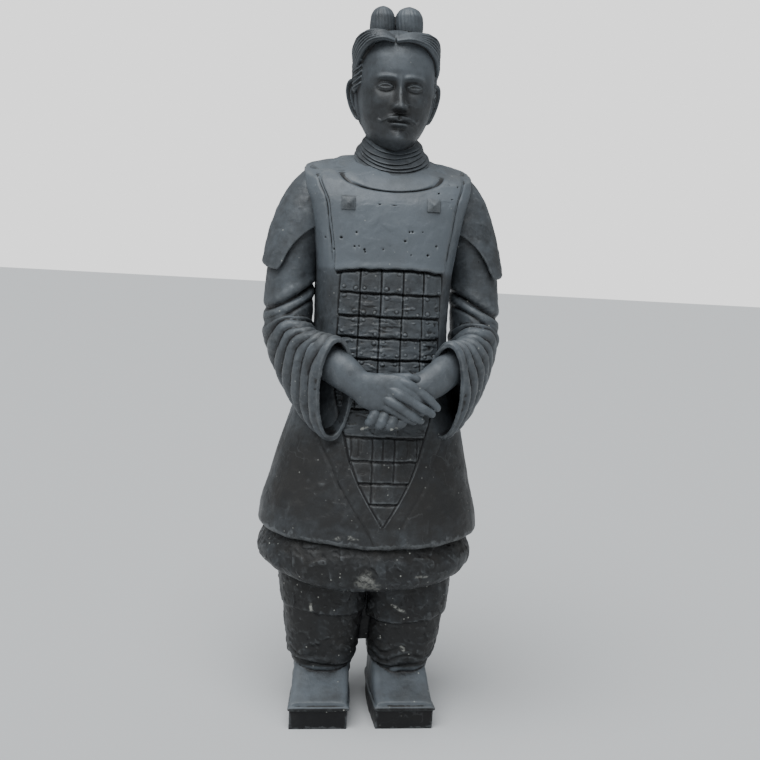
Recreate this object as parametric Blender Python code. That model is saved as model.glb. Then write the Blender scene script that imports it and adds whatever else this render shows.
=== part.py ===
"""Standing warrior in scale armour: a life-size figure cast in one piece from dark clay.

The figure faces -Y and stands on the flat undersides of its two shoes. It is built the way a
modeller works: each form is a loft or a sweep, its carving is raised or cut along the surface,
the forms are pressed together into one body of clay, and the soles are sliced flat.
All lengths are written in modules of the figure: one module is a hundred-and-eightieth of its
height, which is one centimetre on the life-size figure.
"""

import math

import bpy
import numpy as np

HEIGHT = 1.80
MODULE = HEIGHT / 180
CLAY_GRAIN = 0.36 * MODULE
MOST_TRIANGLES = 9900

CLAY_COLOUR = (0.045, 0.048, 0.050, 1.0)
CLAY_ROUGHNESS = 0.55

# Spacing of the points that the dress is drawn with, and the hands and the head
DRESS_GRAIN = 0.5
FINE_GRAIN = 0.3

# Where the middle of the figure's box lies, from the axis that the forms are drawn around
BOX_CENTRE = np.array([0.46, -3.3, 0.0])

# The waist is drawn up by the first, and the figure's left shoulder slopes up by the second
WAIST_LIFT = 3.0
SHOULDER_SLOPE = 0.035

# Coat and armour
COAT_HEM = 45.0
HEM_RISE = 2.2
SKIRT_SHIFT = -0.6
ROBE_SHIFT = -1.0
COLLAR_TOP = 140.6
NECK_LEAN = 0.36
CHEST_PLATE_FOOT = 112.0
ARMOUR_MIDDLE = 0.5
CHEST_PLATE_RAISE = 0.5
SCALE_RAISE = 0.7
GROOVE = 0.6
GROOVE_WIDTH = 0.45
COLLAR_CENTRE = 142.0
COLLAR_OVAL = (14.8, 7.5)
BOSSES = [(-10.95, 127.5), (9.65, 127.9)]
BOSS_HALF = 1.55
BOSS_FOOT = 0.8
BOSS_TIP = 2.3
BOSS_ROOT = -1.5

# Legs and shoes
LEG_SHIFT = -0.3
SOLE_HEIGHT = 5.4
WELT_HEIGHT = 0.9
WELT_STAND_OUT = 0.45
BELOW_GROUND = -1.5
SHOE_SQUARENESS = 7.0
ANKLES = (-10.4, 9.2)
TOES = (-12.2, 9.6)

# Sleeves
CUFF_WALL = 1.0
CUFF_DEPTH = 0.24
FOLDS = 8
FOLDS_FROM = 0.56
FOLD_HEIGHT = 1.1
ELBOW_CREASE = 0.47
SHORT_SLEEVE_WALL = 0.8
SHORT_SLEEVE_STAND = 1.6
LEFT_ARM_OUT = 1.3

# Neck cloth
NECK_CLOTH_ROLLS = 6
NECK_CLOTH_FOOT = 140.3
NECK_CLOTH_RISE = 5.4
NECK_CLOTH_LEAN = 0.55
NECK_CLOTH_PLACE = (0.8, 0.5)
ROLL_HEIGHT = 0.8

# Head, ears and hair
HEAD_PLACE = (0.5, -0.4, 0.0)
EAR_CENTRE = (10.3, 0.8, 154.9)
EAR_HALF_HEIGHT = 5.1
EAR_HALF_WIDTH = 2.7
EAR_TAPER = 0.16
PARTING = -1.7
KNOT_DEPTH = 1.5
STRAND_DEPTH = 0.3
STRANDS_ROUND = 18

# The face is a plain canon: the eyes halfway up, the nose one third, the mouth a third below it
BROW = 159.2
EYE = (3.6, 157.0)
EYE_HALF = (1.75, 0.62)
NOSE_FOOT = 151.3
NOSE_BRIDGE = 158.4
NOSE_OUT = 2.7
MOUTH = 148.2
MOUTH_HALF = 2.7
CHIN = 144.2
MOUSTACHE = [(0.3, 1.35), (2.4, 1.15), (4.3, 0.2), (5.0, 0.7)]


def clear_scene():
    for obj in list(bpy.data.objects):
        bpy.data.objects.remove(obj)


def through(stations, at):
    """Reads a smooth curve through rows of (position, value, ...), which never overshoots them."""
    table = np.array(stations, float)
    x, y = table[:, 0], table[:, 1:]
    step = np.diff(x)[:, None]
    secant = np.diff(y, axis=0) / step
    before, after = secant[:-1], secant[1:]
    same_way = before * after > 0
    total = np.where(same_way, before + after, 1.0)
    middle = np.where(same_way, 2 * before * after / total, 0.0)
    slope = np.vstack([secant[:1], middle, secant[-1:]])
    at = np.clip(np.atleast_1d(np.asarray(at, float)), x[0], x[-1])
    i = np.clip(np.searchsorted(x, at, side="right") - 1, 0, len(x) - 2)
    t = ((at - x[i]) / step[i, 0])[:, None]
    start, end = slope[i] * step[i], slope[i + 1] * step[i]
    return (
        (2 * t**3 - 3 * t**2 + 1) * y[i]
        + (t**3 - 2 * t**2 + t) * start
        + (3 * t**2 - 2 * t**3) * y[i + 1]
        + (t**3 - t**2) * end
    )


def rise(value, low, high):
    """0 below low, 1 above high, and a soft ramp between them."""
    t = np.clip((value - low) / (high - low), 0.0, 1.0)
    return t * t * (3 - 2 * t)


def lapped(turns, foot):
    """Height of cloth that laps over itself once a turn: a foot as short as told, then a long slope."""
    turn = turns % 1.0
    return rise(turn, 0.0, foot) * (1 - 0.75 * rise(turn, 1.5 * foot, 1.0))


def bump(x, z, centre, spread):
    """A round swelling of height 1 at centre."""
    return np.exp(-(((x - centre[0]) / spread[0]) ** 2) - ((z - centre[1]) / spread[1]) ** 2)


def reach(x, z, points):
    """Distance from each (x, z) to the line through points, and how far along it the foot lies."""
    nearest = np.full(np.shape(x), np.inf)
    along = np.zeros(np.shape(x))
    pieces = len(points) - 1
    for i, (a, b) in enumerate(zip(points[:-1], points[1:])):
        ax, az, dx, dz = a[0], a[1], b[0] - a[0], b[1] - a[1]
        t = np.clip(((x - ax) * dx + (z - az) * dz) / (dx * dx + dz * dz), 0.0, 1.0)
        far = np.hypot(x - ax - t * dx, z - az - t * dz)
        along = np.where(far < nearest, (i + t) / pieces, along)
        nearest = np.minimum(nearest, far)
    return nearest, along


def stroke(x, z, points, width, taper=0.0):
    """A soft stroke of the tool along points: 1 on its line, thinner by taper towards its end."""
    far, along = reach(x, z, points)
    return np.exp(-((far / (width * (1 - taper * along))) ** 2)) * (1 - taper * along)


def oval(angle, half_width, front, back, squareness):
    """Points of a body section round the Z axis: flatter than an ellipse as squareness grows."""
    c, s = np.cos(angle), np.sin(angle)
    power = 2.0 / squareness
    x = half_width * np.sign(c) * np.abs(c) ** power
    y = np.where(s < 0, front, back) * np.sign(s) * np.abs(s) ** power
    return x, y


def normals_of(grid):
    """Unit normals of a closed ring grid, rows along the form and columns round it."""
    round_ring = np.roll(grid, -1, axis=1) - np.roll(grid, 1, axis=1)
    along = np.gradient(grid, axis=0)
    normal = np.cross(round_ring, along)
    return normal / np.maximum(np.linalg.norm(normal, axis=2, keepdims=True), 1e-9)


def raised(grid, height):
    """The grid with every point moved out along its normal by height, in modules."""
    return grid + normals_of(grid) * height[..., None]


def settled(points):
    """The points in the figure's own stance: a raised waist and one shoulder over the other."""
    x, z = points[..., 0], points[..., 2]
    lift = WAIST_LIFT * (1 - ((z - 90) / 90) ** 2)
    lift += SHOULDER_SLOPE * np.maximum(x, 0) * rise(z, 118, 132) * rise(-z, -144, -140)
    return np.concatenate([points[..., :2], (z + lift)[..., None]], axis=-1)


def form(name, grid):
    """A closed mesh object from a ring grid in modules, with a cap over each end."""
    grid = settled(grid)
    rows, columns = grid.shape[:2]
    index = np.arange(rows * columns).reshape(rows, columns)
    following = np.roll(index, -1, axis=1)
    sides = np.stack([index[:-1], following[:-1], following[1:], index[1:]], axis=-1)
    first, last = rows * columns, rows * columns + 1
    caps = [(first, b, a) for a, b in zip(index[0], following[0])]
    caps += [(last, a, b) for a, b in zip(index[-1], following[-1])]
    points = np.vstack([grid.reshape(-1, 3), grid[0].mean(0), grid[-1].mean(0)])
    mesh = bpy.data.meshes.new(name)
    mesh.from_pydata(((points - BOX_CENTRE) * MODULE).tolist(), [], sides.reshape(-1, 4).tolist() + caps)
    obj = bpy.data.objects.new(name, mesh)
    bpy.context.scene.collection.objects.link(obj)
    return obj


def turned(stations, levels, columns):
    """A loft up the Z axis through stations of (z, half width, front, back, squareness)."""
    half_width, front, back, squareness = through(stations, levels).T[..., None]
    angle = np.linspace(-math.pi, math.pi, columns, endpoint=False)[None, :]
    x, y = oval(angle, half_width, front, back, squareness)
    z = np.broadcast_to(levels[:, None], x.shape)
    return np.stack([x, y, z], axis=-1)


def swept(path, widths, shares, columns, side_hint, inset=0.0, reach_of=None):
    """A tube along a smooth path, whose columns run round it from the side that side_hint names.

    widths holds stations of (share of the path, half width, half height). shares are the rows'
    places along the path, inset thins the tube row by row, and reach_of says what share of the
    path each column runs to, for an end that isn't square. Returns the grid, its shares and angles.
    """
    path = np.array(path, float)
    shares = np.asarray(shares, float)
    angle = np.linspace(-math.pi, math.pi, columns, endpoint=False)
    stop = np.ones(columns) if reach_of is None else reach_of(angle)
    t = shares[:, None] * stop[None, :]
    stations = np.column_stack([np.linspace(0.0, 1.0, len(path)), path])

    def at(place):
        return through(stations, np.clip(place, 0.0, 1.0).ravel()).reshape(*t.shape, 3)

    along = at(t + 0.02) - at(t - 0.02)
    along /= np.linalg.norm(along, axis=-1, keepdims=True)
    hint = np.array(side_hint, float)
    side = hint - along * (along @ hint)[..., None]
    side /= np.linalg.norm(side, axis=-1, keepdims=True)
    top = np.cross(along, side)
    width, height = through(widths, t.ravel()).reshape(*t.shape, 2).transpose(2, 0, 1)
    thinner = np.broadcast_to(np.asarray(inset, float), shares.shape)[:, None]
    across = (np.maximum(width - thinner, 0.05) * np.cos(angle))[..., None]
    upward = (np.maximum(height - thinner, 0.05) * np.sin(angle))[..., None]
    return at(t) + side * across + top * upward, t, np.broadcast_to(angle, t.shape)


def mirrored(grid):
    """The same form on the figure's other side."""
    return np.flip(grid, axis=1) * np.array([-1.0, 1.0, 1.0])


# Armour and coat: sections of (height, half width, front, back, squareness)
COAT = [
    (COAT_HEM, 28.2, 21.8, 20.6, 2.3),
    (50.0, 27.8, 21.4, 20.2, 2.3),
    (60.0, 25.5, 19.7, 18.4, 2.3),
    (70.0, 23.0, 18.0, 16.4, 2.3),
    (80.0, 20.0, 16.9, 14.5, 2.3),
    (90.0, 17.4, 16.2, 13.5, 2.4),
    (100.0, 16.8, 15.8, 13.4, 2.6),
    (111.0, 17.1, 15.5, 14.0, 2.9),
    (120.0, 18.2, 15.0, 14.4, 3.1),
    (127.0, 19.6, 14.0, 14.2, 3.2),
    (133.0, 20.9, 12.5, 13.0, 3.0),
    (136.2, 21.0, 11.2, 11.8, 2.7),
    (137.3, 18.5, 10.2, 11.0, 2.4),
    (138.3, 11.4, 8.8, 9.8, 2.3),
    (139.3, 8.0, 6.8, 7.8, 2.2),
    (COLLAR_TOP, 5.0, 4.0, 5.0, 2.0),
]
CHEST_PLATE_EDGE = [(109, 12.9), (116, 13.4), (121.4, 14.2), (129.4, 15.4), (137, 17.4)]
SCALE_ROWS = [112.0, 106.1, 100.5, 95.3, 90.1, 84.8, 78.2, 71.5, 65.9, 60.8, 56.0, 50.3]
SCALE_COLUMNS = (2.65, 7.7, 12.5)
# Half width of the scale apron at each height, and how far each side of the seam band lies out
APRON_EDGE = [(50.3, 0.0), (56.2, 3.7), (61.0, 6.35), (65.6, 8.2), (71.5, 9.9), (78, 11.7), (82, 12.5)]
BAND_EDGES = [(45, 0.7, 3.9), (51.0, 4.2, 5.5), (57.6, 8.6, 9.6), (66.0, 13.0, 13.4), (76, 17.6, 17.6)]


def read_off(stations, z):
    """The values of a curve through stations of (height, values ...) at every height of an array."""
    return np.moveaxis(through(stations, z.ravel()).reshape(*z.shape, -1), -1, 0)


def scales(x, z):
    """Overlapping scales: each leans out to its foot and hides the top of the row below."""
    height = np.zeros_like(x)
    for top, foot in zip(SCALE_ROWS[:-1], SCALE_ROWS[1:]):
        in_row = (z <= top) & (z > foot)
        lean = (top - z) / (top - foot)
        height = np.where(in_row, SCALE_RAISE * (0.15 + 0.85 * lean), height)
        height -= GROOVE * np.exp(-(((z - top) / GROOVE_WIDTH) ** 2))
    for column in SCALE_COLUMNS[:2]:
        height -= 0.8 * GROOVE * np.exp(-(((np.abs(x) - column) / (0.8 * GROOVE_WIDTH)) ** 2))
    return height


def coat_relief(grid):
    """What is carved on the armour and the coat's skirts, as a height along the surface."""
    x, y, z = grid[..., 0], grid[..., 1], grid[..., 2]
    across, over = np.abs(x), x - ARMOUR_MIDDLE
    front = rise(-y, 3.0, 6.0)
    from_edge = np.abs(over) - read_off(APRON_EDGE, z)[0]
    over_tip = rise(z, APRON_EDGE[0][0] - 0.3, APRON_EDGE[0][0] + 0.3)
    below_plate = rise(CHEST_PLATE_FOOT - z, -0.1, 0.1)
    relief = rise(-from_edge, -0.1, 0.2) * below_plate * over_tip * scales(over, z)
    relief -= GROOVE * np.exp(-((from_edge / GROOVE_WIDTH) ** 2)) * below_plate * over_tip
    plate_edge = read_off(CHEST_PLATE_EDGE, z)[0]
    in_plate = rise(plate_edge - across, -0.15, 0.15) * rise(z - CHEST_PLATE_FOOT, -0.1, 0.15)
    relief += in_plate * CHEST_PLATE_RAISE
    second_line = np.abs(across - plate_edge - 0.9) / GROOVE_WIDTH
    relief -= 0.7 * GROOVE * np.exp(-(second_line**2)) * rise(z, 112, 115)
    left, right = read_off(BAND_EDGES, z)
    band = np.where(x < 0, -x - left, x - right)
    relief -= 0.5 * GROOVE * np.exp(-((band / (1.2 * GROOVE_WIDTH)) ** 2)) * rise(74 - z, 0, 6)
    relief *= front
    collar_far = np.hypot(x / COLLAR_OVAL[0], (z - COLLAR_CENTRE) / COLLAR_OVAL[1])
    from_collar = (collar_far - 1) * COLLAR_OVAL[1]
    in_collar = rise(-from_collar, -0.2, 0.2)
    relief = relief * (1 - in_collar) + 0.55 * in_collar
    relief -= 1.3 * GROOVE * np.exp(-(((from_collar - 0.2) / GROOVE_WIDTH) ** 2))
    return relief


def coat(grain):
    """The armour and the coat's skirts, their top leaning forward as the shoulders do."""
    levels = np.arange(COAT_HEM, COLLAR_TOP + grain / 2, grain)
    grid = turned(COAT, levels, int(150 / grain))
    grid = raised(grid, coat_relief(grid))
    side = np.abs(np.cos(np.arctan2(grid[..., 1], grid[..., 0]))) ** 1.5
    grid[..., 0] += SKIRT_SHIFT * side * rise(85 - grid[..., 2], 0, 30)
    grid[..., 2] += HEM_RISE * side * rise(COAT_HEM - grid[..., 2], -12.0, 0.0)
    grid[..., 2] += NECK_LEAN * grid[..., 1] * rise(grid[..., 2], 126.0, 138.0)
    return form("coat", grid)


def boss(name, place, grain):
    """A pyramid on a thin square foot, which follows the round of the chest."""
    size = np.concatenate([[1.0, 1.0], np.arange(0.94, 0.0, -grain / BOSS_HALF)])[:, None]
    high = BOSS_FOOT + (BOSS_TIP - BOSS_FOOT) * np.clip(0.94 - size, 0.0, 1.0) / 0.94
    high[0] = BOSS_ROOT
    angle = np.linspace(-math.pi, math.pi, 8 * round(BOSS_HALF / grain), endpoint=False)[None, :]
    square = BOSS_HALF * size / np.maximum(np.abs(np.cos(angle)), np.abs(np.sin(angle)))
    x, z = place[0] + square * np.cos(angle), place[1] + square * np.sin(angle)
    half_width, front, _, squareness = read_off(COAT, z)
    y = -front * (1 - np.abs(x / half_width) ** squareness) ** (1 / squareness) - high
    return form(name, np.stack([x, y, z], axis=-1))


UNDER_ROBE = [
    (34.4, 21.8, 18.8, 17.6, 2.3),
    (35.2, 23.8, 19.9, 18.8, 2.3),
    (37.0, 26.0, 20.8, 19.8, 2.3),
    (39.0, 27.3, 21.2, 20.3, 2.3),
    (41.4, 27.6, 21.3, 20.4, 2.3),
    (43.8, 26.8, 20.5, 19.6, 2.3),
    (48.0, 24.5, 18.5, 17.5, 2.3),
]
ROBE_RISE = 1.4


def under_robe(grain):
    levels = np.arange(UNDER_ROBE[0][0], UNDER_ROBE[-1][0], grain)
    grid = turned(UNDER_ROBE, levels, int(150 / grain))
    side = np.abs(np.cos(np.arctan2(grid[..., 1], grid[..., 0]))) ** 1.5
    grid[..., 0] += ROBE_SHIFT
    grid[..., 2] += ROBE_RISE * side * rise(41 - grid[..., 2], 0, 6)
    return form("under_robe", grid)


# A trouser leg: (height, centre x, half width, front, back)
LEG = [
    (7.0, 9.9, 6.3, 6.4, 7.0),
    (10.0, 10.0, 7.2, 7.3, 7.6),
    (12.0, 10.2, 7.7, 8.0, 8.0),
    (16.0, 10.4, 8.6, 8.8, 8.6),
    (21.0, 10.5, 9.9, 10.0, 9.4),
    (27.0, 10.6, 10.8, 11.2, 10.2),
    (34.0, 10.9, 11.5, 12.6, 11.4),
    (40.0, 11.0, 11.6, 12.8, 11.6),
]
# The trousers hang in two tiers: the height of the lower hem, and of the fold over each leg
TROUSER_HEM = 12.8
TROUSER_FOLD = 25.1
FOLD_STRENGTHS = (0.55, 1.0)


def leg(name, sign, grain):
    """One trouser leg in two tiers, the upper hanging in a fold over the lower."""
    levels = np.arange(LEG[0][0], LEG[-1][0], grain)
    centre, half_width, front, back = through(LEG, levels).T[..., None]
    angle = np.linspace(-math.pi, math.pi, int(62 / grain), endpoint=False)[None, :]
    x, y = oval(angle, half_width, front, back, 2.3)
    z = np.broadcast_to(levels[:, None], x.shape)
    sag = z - 0.6 * sign * np.cos(angle)
    tier = (sag - TROUSER_HEM) / (TROUSER_FOLD - 0.9 * sign - TROUSER_HEM)
    grid = np.stack([x + sign * centre + LEG_SHIFT, y, z], axis=-1)
    strength = np.where(tier > 1, FOLD_STRENGTHS[sign > 0], 1.0)
    return form(name, raised(grid, strength * (0.85 * lapped(tier, 0.07) - 0.4)))


CROTCH = [(20.0, 3.0, 3.4, 3.4, 3.0), (23.0, 4.4, 4.6, 4.6, 3.0), (40.0, 6.0, 7.0, 7.0, 3.0)]


def crotch(grain):
    levels = np.arange(CROTCH[0][0], CROTCH[-1][0], grain)
    grid = turned(CROTCH, levels, int(30 / grain))
    return form("crotch", grid + np.array([LEG_SHIFT, 0.5, 0.0]))


# Shoes: (y, half width, top), from the heel forward to the square toe
SHOE = [
    (-15.8, 7.3, 6.6),
    (-13.5, 7.3, 7.4),
    (-10.0, 7.3, 9.2),
    (-6.5, 7.3, 11.6),
    (-3.0, 7.2, 13.0),
    (5.0, 6.8, 13.0),
    (9.0, 6.4, 11.0),
    (11.6, 5.6, 7.4),
]


def block(name, stations, low, tops, ankle, toe):
    """A squared block through sections across Y, from low up to each section's top."""
    y, half_width = stations[:, 0], stations[:, 1]
    angle = np.linspace(-math.pi, math.pi, 72, endpoint=False)[None, :]
    middle, half_height = (tops + low) / 2, (tops - low) / 2
    x, z = oval(angle, half_width[:, None], half_height[:, None], half_height[:, None], SHOE_SQUARENESS)
    lean = (toe - ankle) * np.clip(-y / 16.0, 0.0, 1.0)
    depth = np.broadcast_to(y[:, None], x.shape)
    grid = np.stack([x + (ankle + lean)[:, None], depth, z + middle[:, None]], axis=-1)
    return form(name, np.flip(grid, axis=0))


def shoe(name, ankle, toe, grain):
    """A square-toed shoe on a thick sole, with a thin welt that stands out between them."""
    y = np.arange(SHOE[0][0], SHOE[-1][0] + grain / 2, grain)
    half_width, top = through(SHOE, y).T
    upper = np.column_stack([y, half_width])
    made = [block(name + "_upper", upper, BELOW_GROUND, top, ankle, toe)]
    level = np.full(len(y), SOLE_HEIGHT)
    made.append(block(name + "_sole", upper, BELOW_GROUND, level - WELT_HEIGHT / 2, ankle, toe))
    welt = np.column_stack([y, half_width + WELT_STAND_OUT])
    welt[0, 0] -= WELT_STAND_OUT
    welt[-1, 0] += WELT_STAND_OUT
    made.append(block(name + "_welt", welt, SOLE_HEIGHT - WELT_HEIGHT, level, ankle, toe))
    return made


# Sleeves: the way down the upper arm, mirrored for each side, then each forearm's own way
UPPER_ARM = [
    (14.5, 1.5, 134.5),
    (18.9, 2.0, 128.0),
    (21.7, 2.0, 118.0),
    (23.2, 1.6, 107.0),
    (23.4, 0.6, 97.0),
]
RIGHT_FOREARM = [(-20.4, -4.8, 88.7), (-16.2, -13.0, 84.4), (-12.5, -20.8, 83.0)]
LEFT_FOREARM = [(22.2, -5.5, 88.5), (18.4, -12.6, 84.6), (14.2, -18.0, 83.0)]
SLEEVE_WIDTHS = [
    (0.0, 5.6, 6.6),
    (0.15, 6.1, 7.4),
    (0.3, 6.2, 7.8),
    (0.45, 6.2, 8.2),
    (0.58, 6.1, 9.0),
    (0.72, 5.8, 10.3),
    (0.86, 5.5, 11.6),
    (1.0, 5.1, 12.5),
]
# The short sleeve's slanting hem: turn round the arm from its outer side to the front, and reach
SHORT_SLEEVE_HEM = [
    (-180, 0.20),
    (-90, 0.32),
    (0, 0.368),
    (35, 0.385),
    (58, 0.388),
    (67, 0.366),
    (76, 0.318),
    (92, 0.266),
    (117, 0.224),
    (180, 0.20),
]


def sleeve_path(side):
    """The centre line of one sleeve, side being -1 for the figure's right and 1 for its left."""
    out = LEFT_ARM_OUT if side > 0 else 0.0
    upper = [(side * (x + out * float(rise(128 - z, 0, 30))), y, z) for x, y, z in UPPER_ARM]
    return upper + (RIGHT_FOREARM if side < 0 else LEFT_FOREARM)


def folded(shares, angle):
    """Soft ring folds pushed together down the forearm, and one deep crease over the elbow."""
    place = (shares - FOLDS_FROM) / (1 - FOLDS_FROM) + 0.03 * np.sin(2 * angle + 9 * shares)
    ridges = np.abs(np.sin(math.pi * FOLDS * place)) ** 0.55
    fade = rise(place, -0.03, 0.06) * (1 - 0.75 * rise(place, 0.93, 1.0))
    crease = shares - ELBOW_CREASE - 0.05 * np.cos(angle) - 0.02 * np.sin(angle)
    facing = 0.5 + 0.5 * np.sin(angle)
    return FOLD_HEIGHT * fade * (ridges - 0.6) - 1.0 * facing * np.exp(-((crease / 0.012) ** 2))


def sleeve(name, side, grain):
    """A long sleeve that ends in a wide open cuff, hollow for a hand's depth."""
    out = np.arange(0.0, 1.0, grain / 75)
    rim = np.array([1.0, 1.006, 1.006, 1.0])
    back = np.arange(1.0, 1.0 - CUFF_DEPTH, -1.6 * grain / 75)[1:]
    inset = np.concatenate([0 * out, [0.0, 0.3, 0.7, CUFF_WALL], 0 * back + CUFF_WALL])
    shares = np.concatenate([out, rim, back])
    columns = int(58 / grain)
    path = sleeve_path(side)
    grid, t, angle = swept(path, SLEEVE_WIDTHS, shares, columns, (side, 0.0, 0.0), inset)
    outside = (np.arange(len(shares)) < len(out) + 2)[:, None]
    return form(name, raised(grid, folded(t, side * angle) * outside))


def short_sleeve(name, side, grain):
    """The jacket's flared short sleeve, whose hem slants and stands clear of the arm."""
    out = np.arange(0.0, 1.0, grain / 26)
    back = np.arange(1.0, 0.82, -grain / 26)[1:]
    shares = np.concatenate([out, [1.0, 1.012, 1.012, 1.0], back])
    wall = SHORT_SLEEVE_WALL
    inset = np.concatenate([0 * out, [0.0, 0.3 * wall, 0.7 * wall, wall], 0 * back + wall])
    widths = []
    for share, wide, deep in SLEEVE_WIDTHS:
        stand = SHORT_SLEEVE_STAND * float(rise(share, 0.0, 0.3))
        widths.append((share, wide + stand, deep + stand))

    def hem(angle):
        around = np.degrees(side * angle + math.pi) % 360 - 180
        return through(SHORT_SLEEVE_HEM, around)[:, 0]

    columns = int(62 / grain)
    path = sleeve_path(side)
    grid, _, _ = swept(path, widths, shares, columns, (side, 0.0, 0.0), inset, hem)
    return form(name, grid)


# Forearms and hands: the figure's right hand lies over its left
RIGHT_ARM = [(-17.0, -14.5, 90.6), (-12.9, -18.8, 88.6), (-9.7, -21.0, 86.4), (-6.6, -22.6, 84.3)]
RIGHT_PALM = [(-2.8, -23.4, 83.1), (1.9, -24.0, 83.3)]
RIGHT_HAND_WIDTHS = [
    (0.0, 4.7, 4.0),
    (0.2, 4.5, 3.8),
    (0.4, 4.1, 3.3),
    (0.56, 3.6, 2.6),
    (0.68, 4.2, 2.3),
    (0.8, 4.6, 2.1),
    (0.93, 4.3, 1.8),
    (1.0, 3.8, 1.3),
]
LEFT_ARM = [(17.5, -13.5, 90.4), (15.0, -17.3, 88.6), (11.5, -20.2, 86.2), (8.0, -21.6, 84.2)]
LEFT_PALM = [(4.0, -21.8, 81.8), (0.5, -21.6, 79.6)]
LEFT_HAND_WIDTHS = [(0.0, 4.6, 3.8), (0.3, 4.3, 3.5), (0.6, 3.8, 3.1), (0.8, 4.2, 2.8), (1.0, 3.8, 2.4)]
RIGHT_FINGERS = [
    [(0.2, -24.2, 86.6), (4.5, -25.5, 85.2), (8.6, -25.4, 82.5), (11.0, -24.7, 80.5), (12.0, -24.2, 79.4)],
    [(-1.2, -24.5, 84.5), (2.9, -26.2, 82.6), (7.2, -26.2, 80.2), (9.6, -25.4, 79.0), (10.9, -24.8, 78.2)],
    [(-2.2, -24.3, 82.3), (1.6, -25.9, 80.5), (4.9, -26.0, 78.4), (7.0, -25.3, 77.3), (8.4, -24.7, 76.7)],
    [(-2.4, -23.8, 80.6), (0.8, -24.8, 79.3), (3.8, -25.0, 77.7), (5.6, -24.5, 76.9), (6.9, -23.9, 76.4)],
]
LEFT_FINGERS = [
    [(3.4, -21.0, 79.4), (3.4, -23.9, 77.4), (2.8, -24.3, 75.9), (2.0, -22.6, 75.2)],
    [(1.4, -21.0, 79.2), (1.2, -24.2, 77.2), (0.6, -24.6, 75.5), (-0.2, -22.8, 74.7)],
    [(-0.7, -21.0, 79.0), (-1.1, -24.1, 77.4), (-1.8, -24.4, 75.8), (-2.4, -22.6, 75.0)],
    [(-2.8, -21.0, 79.0), (-3.3, -23.8, 77.8), (-4.1, -24.0, 76.4), (-4.7, -22.4, 75.7)],
]
THUMBS = [
    [(-3.4, -22.8, 86.0), (0.6, -24.0, 87.6), (4.2, -24.4, 87.9), (6.8, -24.0, 87.5), (8.6, -23.3, 86.8)],
]
FINGER_WIDTHS = [
    (0.0, 1.0, 0.8),
    (0.22, 1.16, 1.0),
    (0.56, 1.08, 0.96),
    (0.8, 0.95, 0.85),
    (0.93, 0.76, 0.66),
    (1.0, 0.2, 0.2),
]


def limb(name, path, widths, grain, side_hint=(0.0, 0.0, 1.0)):
    length = sum(math.dist(a, b) for a, b in zip(path[:-1], path[1:]))
    girth = 2 * math.pi * max(max(w, h) for _, w, h in widths)
    shares = np.linspace(0.0, 1.0, max(8, int(length / grain)))
    grid, _, _ = swept(path, widths, shares, max(12, int(girth / grain)), side_hint)
    return form(name, grid)


def hands(grain):
    """Both forearms and hands, every finger a limb of its own."""
    made = [
        limb("right_hand", RIGHT_ARM + RIGHT_PALM, RIGHT_HAND_WIDTHS, grain),
        limb("left_hand", LEFT_ARM + LEFT_PALM, LEFT_HAND_WIDTHS, grain),
    ]
    for name, paths in (("right", RIGHT_FINGERS), ("left", LEFT_FINGERS), ("thumb", THUMBS)):
        for number, path in enumerate(paths):
            hint = (0.0, 0.0, 1.0) if name == "right" else (1.0, 0.0, 0.3)
            made.append(limb(f"{name}_finger_{number}", path, FINGER_WIDTHS, grain, hint))
    return made


# Neck cloth: wound round and leaning forward, each turn lapping over the one below
NECK_CLOTH_WIDTHS = [(0.0, 8.9, 9.4, 9.0), (0.5, 7.5, 8.3, 7.8), (1.0, 5.7, 6.7, 6.2)]


def neck_cloth(grain):
    share = np.arange(0.0, 1.0, grain / 16)
    half_width, front, back = through(NECK_CLOTH_WIDTHS, share).T[..., None]
    angle = np.linspace(-math.pi, math.pi, int(58 / grain), endpoint=False)[None, :]
    roll = ROLL_HEIGHT * (lapped(NECK_CLOTH_ROLLS * share, 0.2) - 0.1)[:, None]
    x, y = oval(angle, half_width + roll, front + roll, back + roll, 2.0)
    z = NECK_CLOTH_FOOT + NECK_CLOTH_RISE * share[:, None] + NECK_CLOTH_LEAN * y
    return form("neck_cloth", np.stack([x + NECK_CLOTH_PLACE[0], y + NECK_CLOTH_PLACE[1], z], axis=-1))


# Head: sections of (height, half width, front, back, squareness)
HEAD = [
    (141.3, 1.6, 6.2, 0.5, 2.0),
    (142.2, 3.2, 8.8, 1.4, 2.0),
    (143.2, 4.4, 9.9, 2.4, 2.1),
    (144.6, 5.6, 10.4, 3.6, 2.2),
    (146.4, 6.9, 10.4, 5.2, 2.2),
    (148.8, 8.0, 10.5, 7.6, 2.3),
    (152.0, 8.8, 10.5, 9.4, 2.3),
    (155.0, 9.3, 10.3, 10.4, 2.3),
    (158.0, 9.5, 10.3, 10.9, 2.3),
    (161.0, 9.6, 10.6, 11.0, 2.2),
    (164.0, 9.5, 10.3, 10.8, 2.2),
    (167.0, 9.1, 9.4, 10.2, 2.1),
    (169.6, 8.2, 8.0, 8.8, 2.0),
    (171.4, 6.4, 5.8, 6.6, 2.0),
    (172.6, 3.0, 2.6, 3.0, 2.0),
]
NECK = [(136.0, 6.0, 5.4, 6.2, 2.0), (142.0, 5.7, 5.2, 6.4, 2.0), (152.0, 6.0, 5.0, 8.0, 2.0)]


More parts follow.
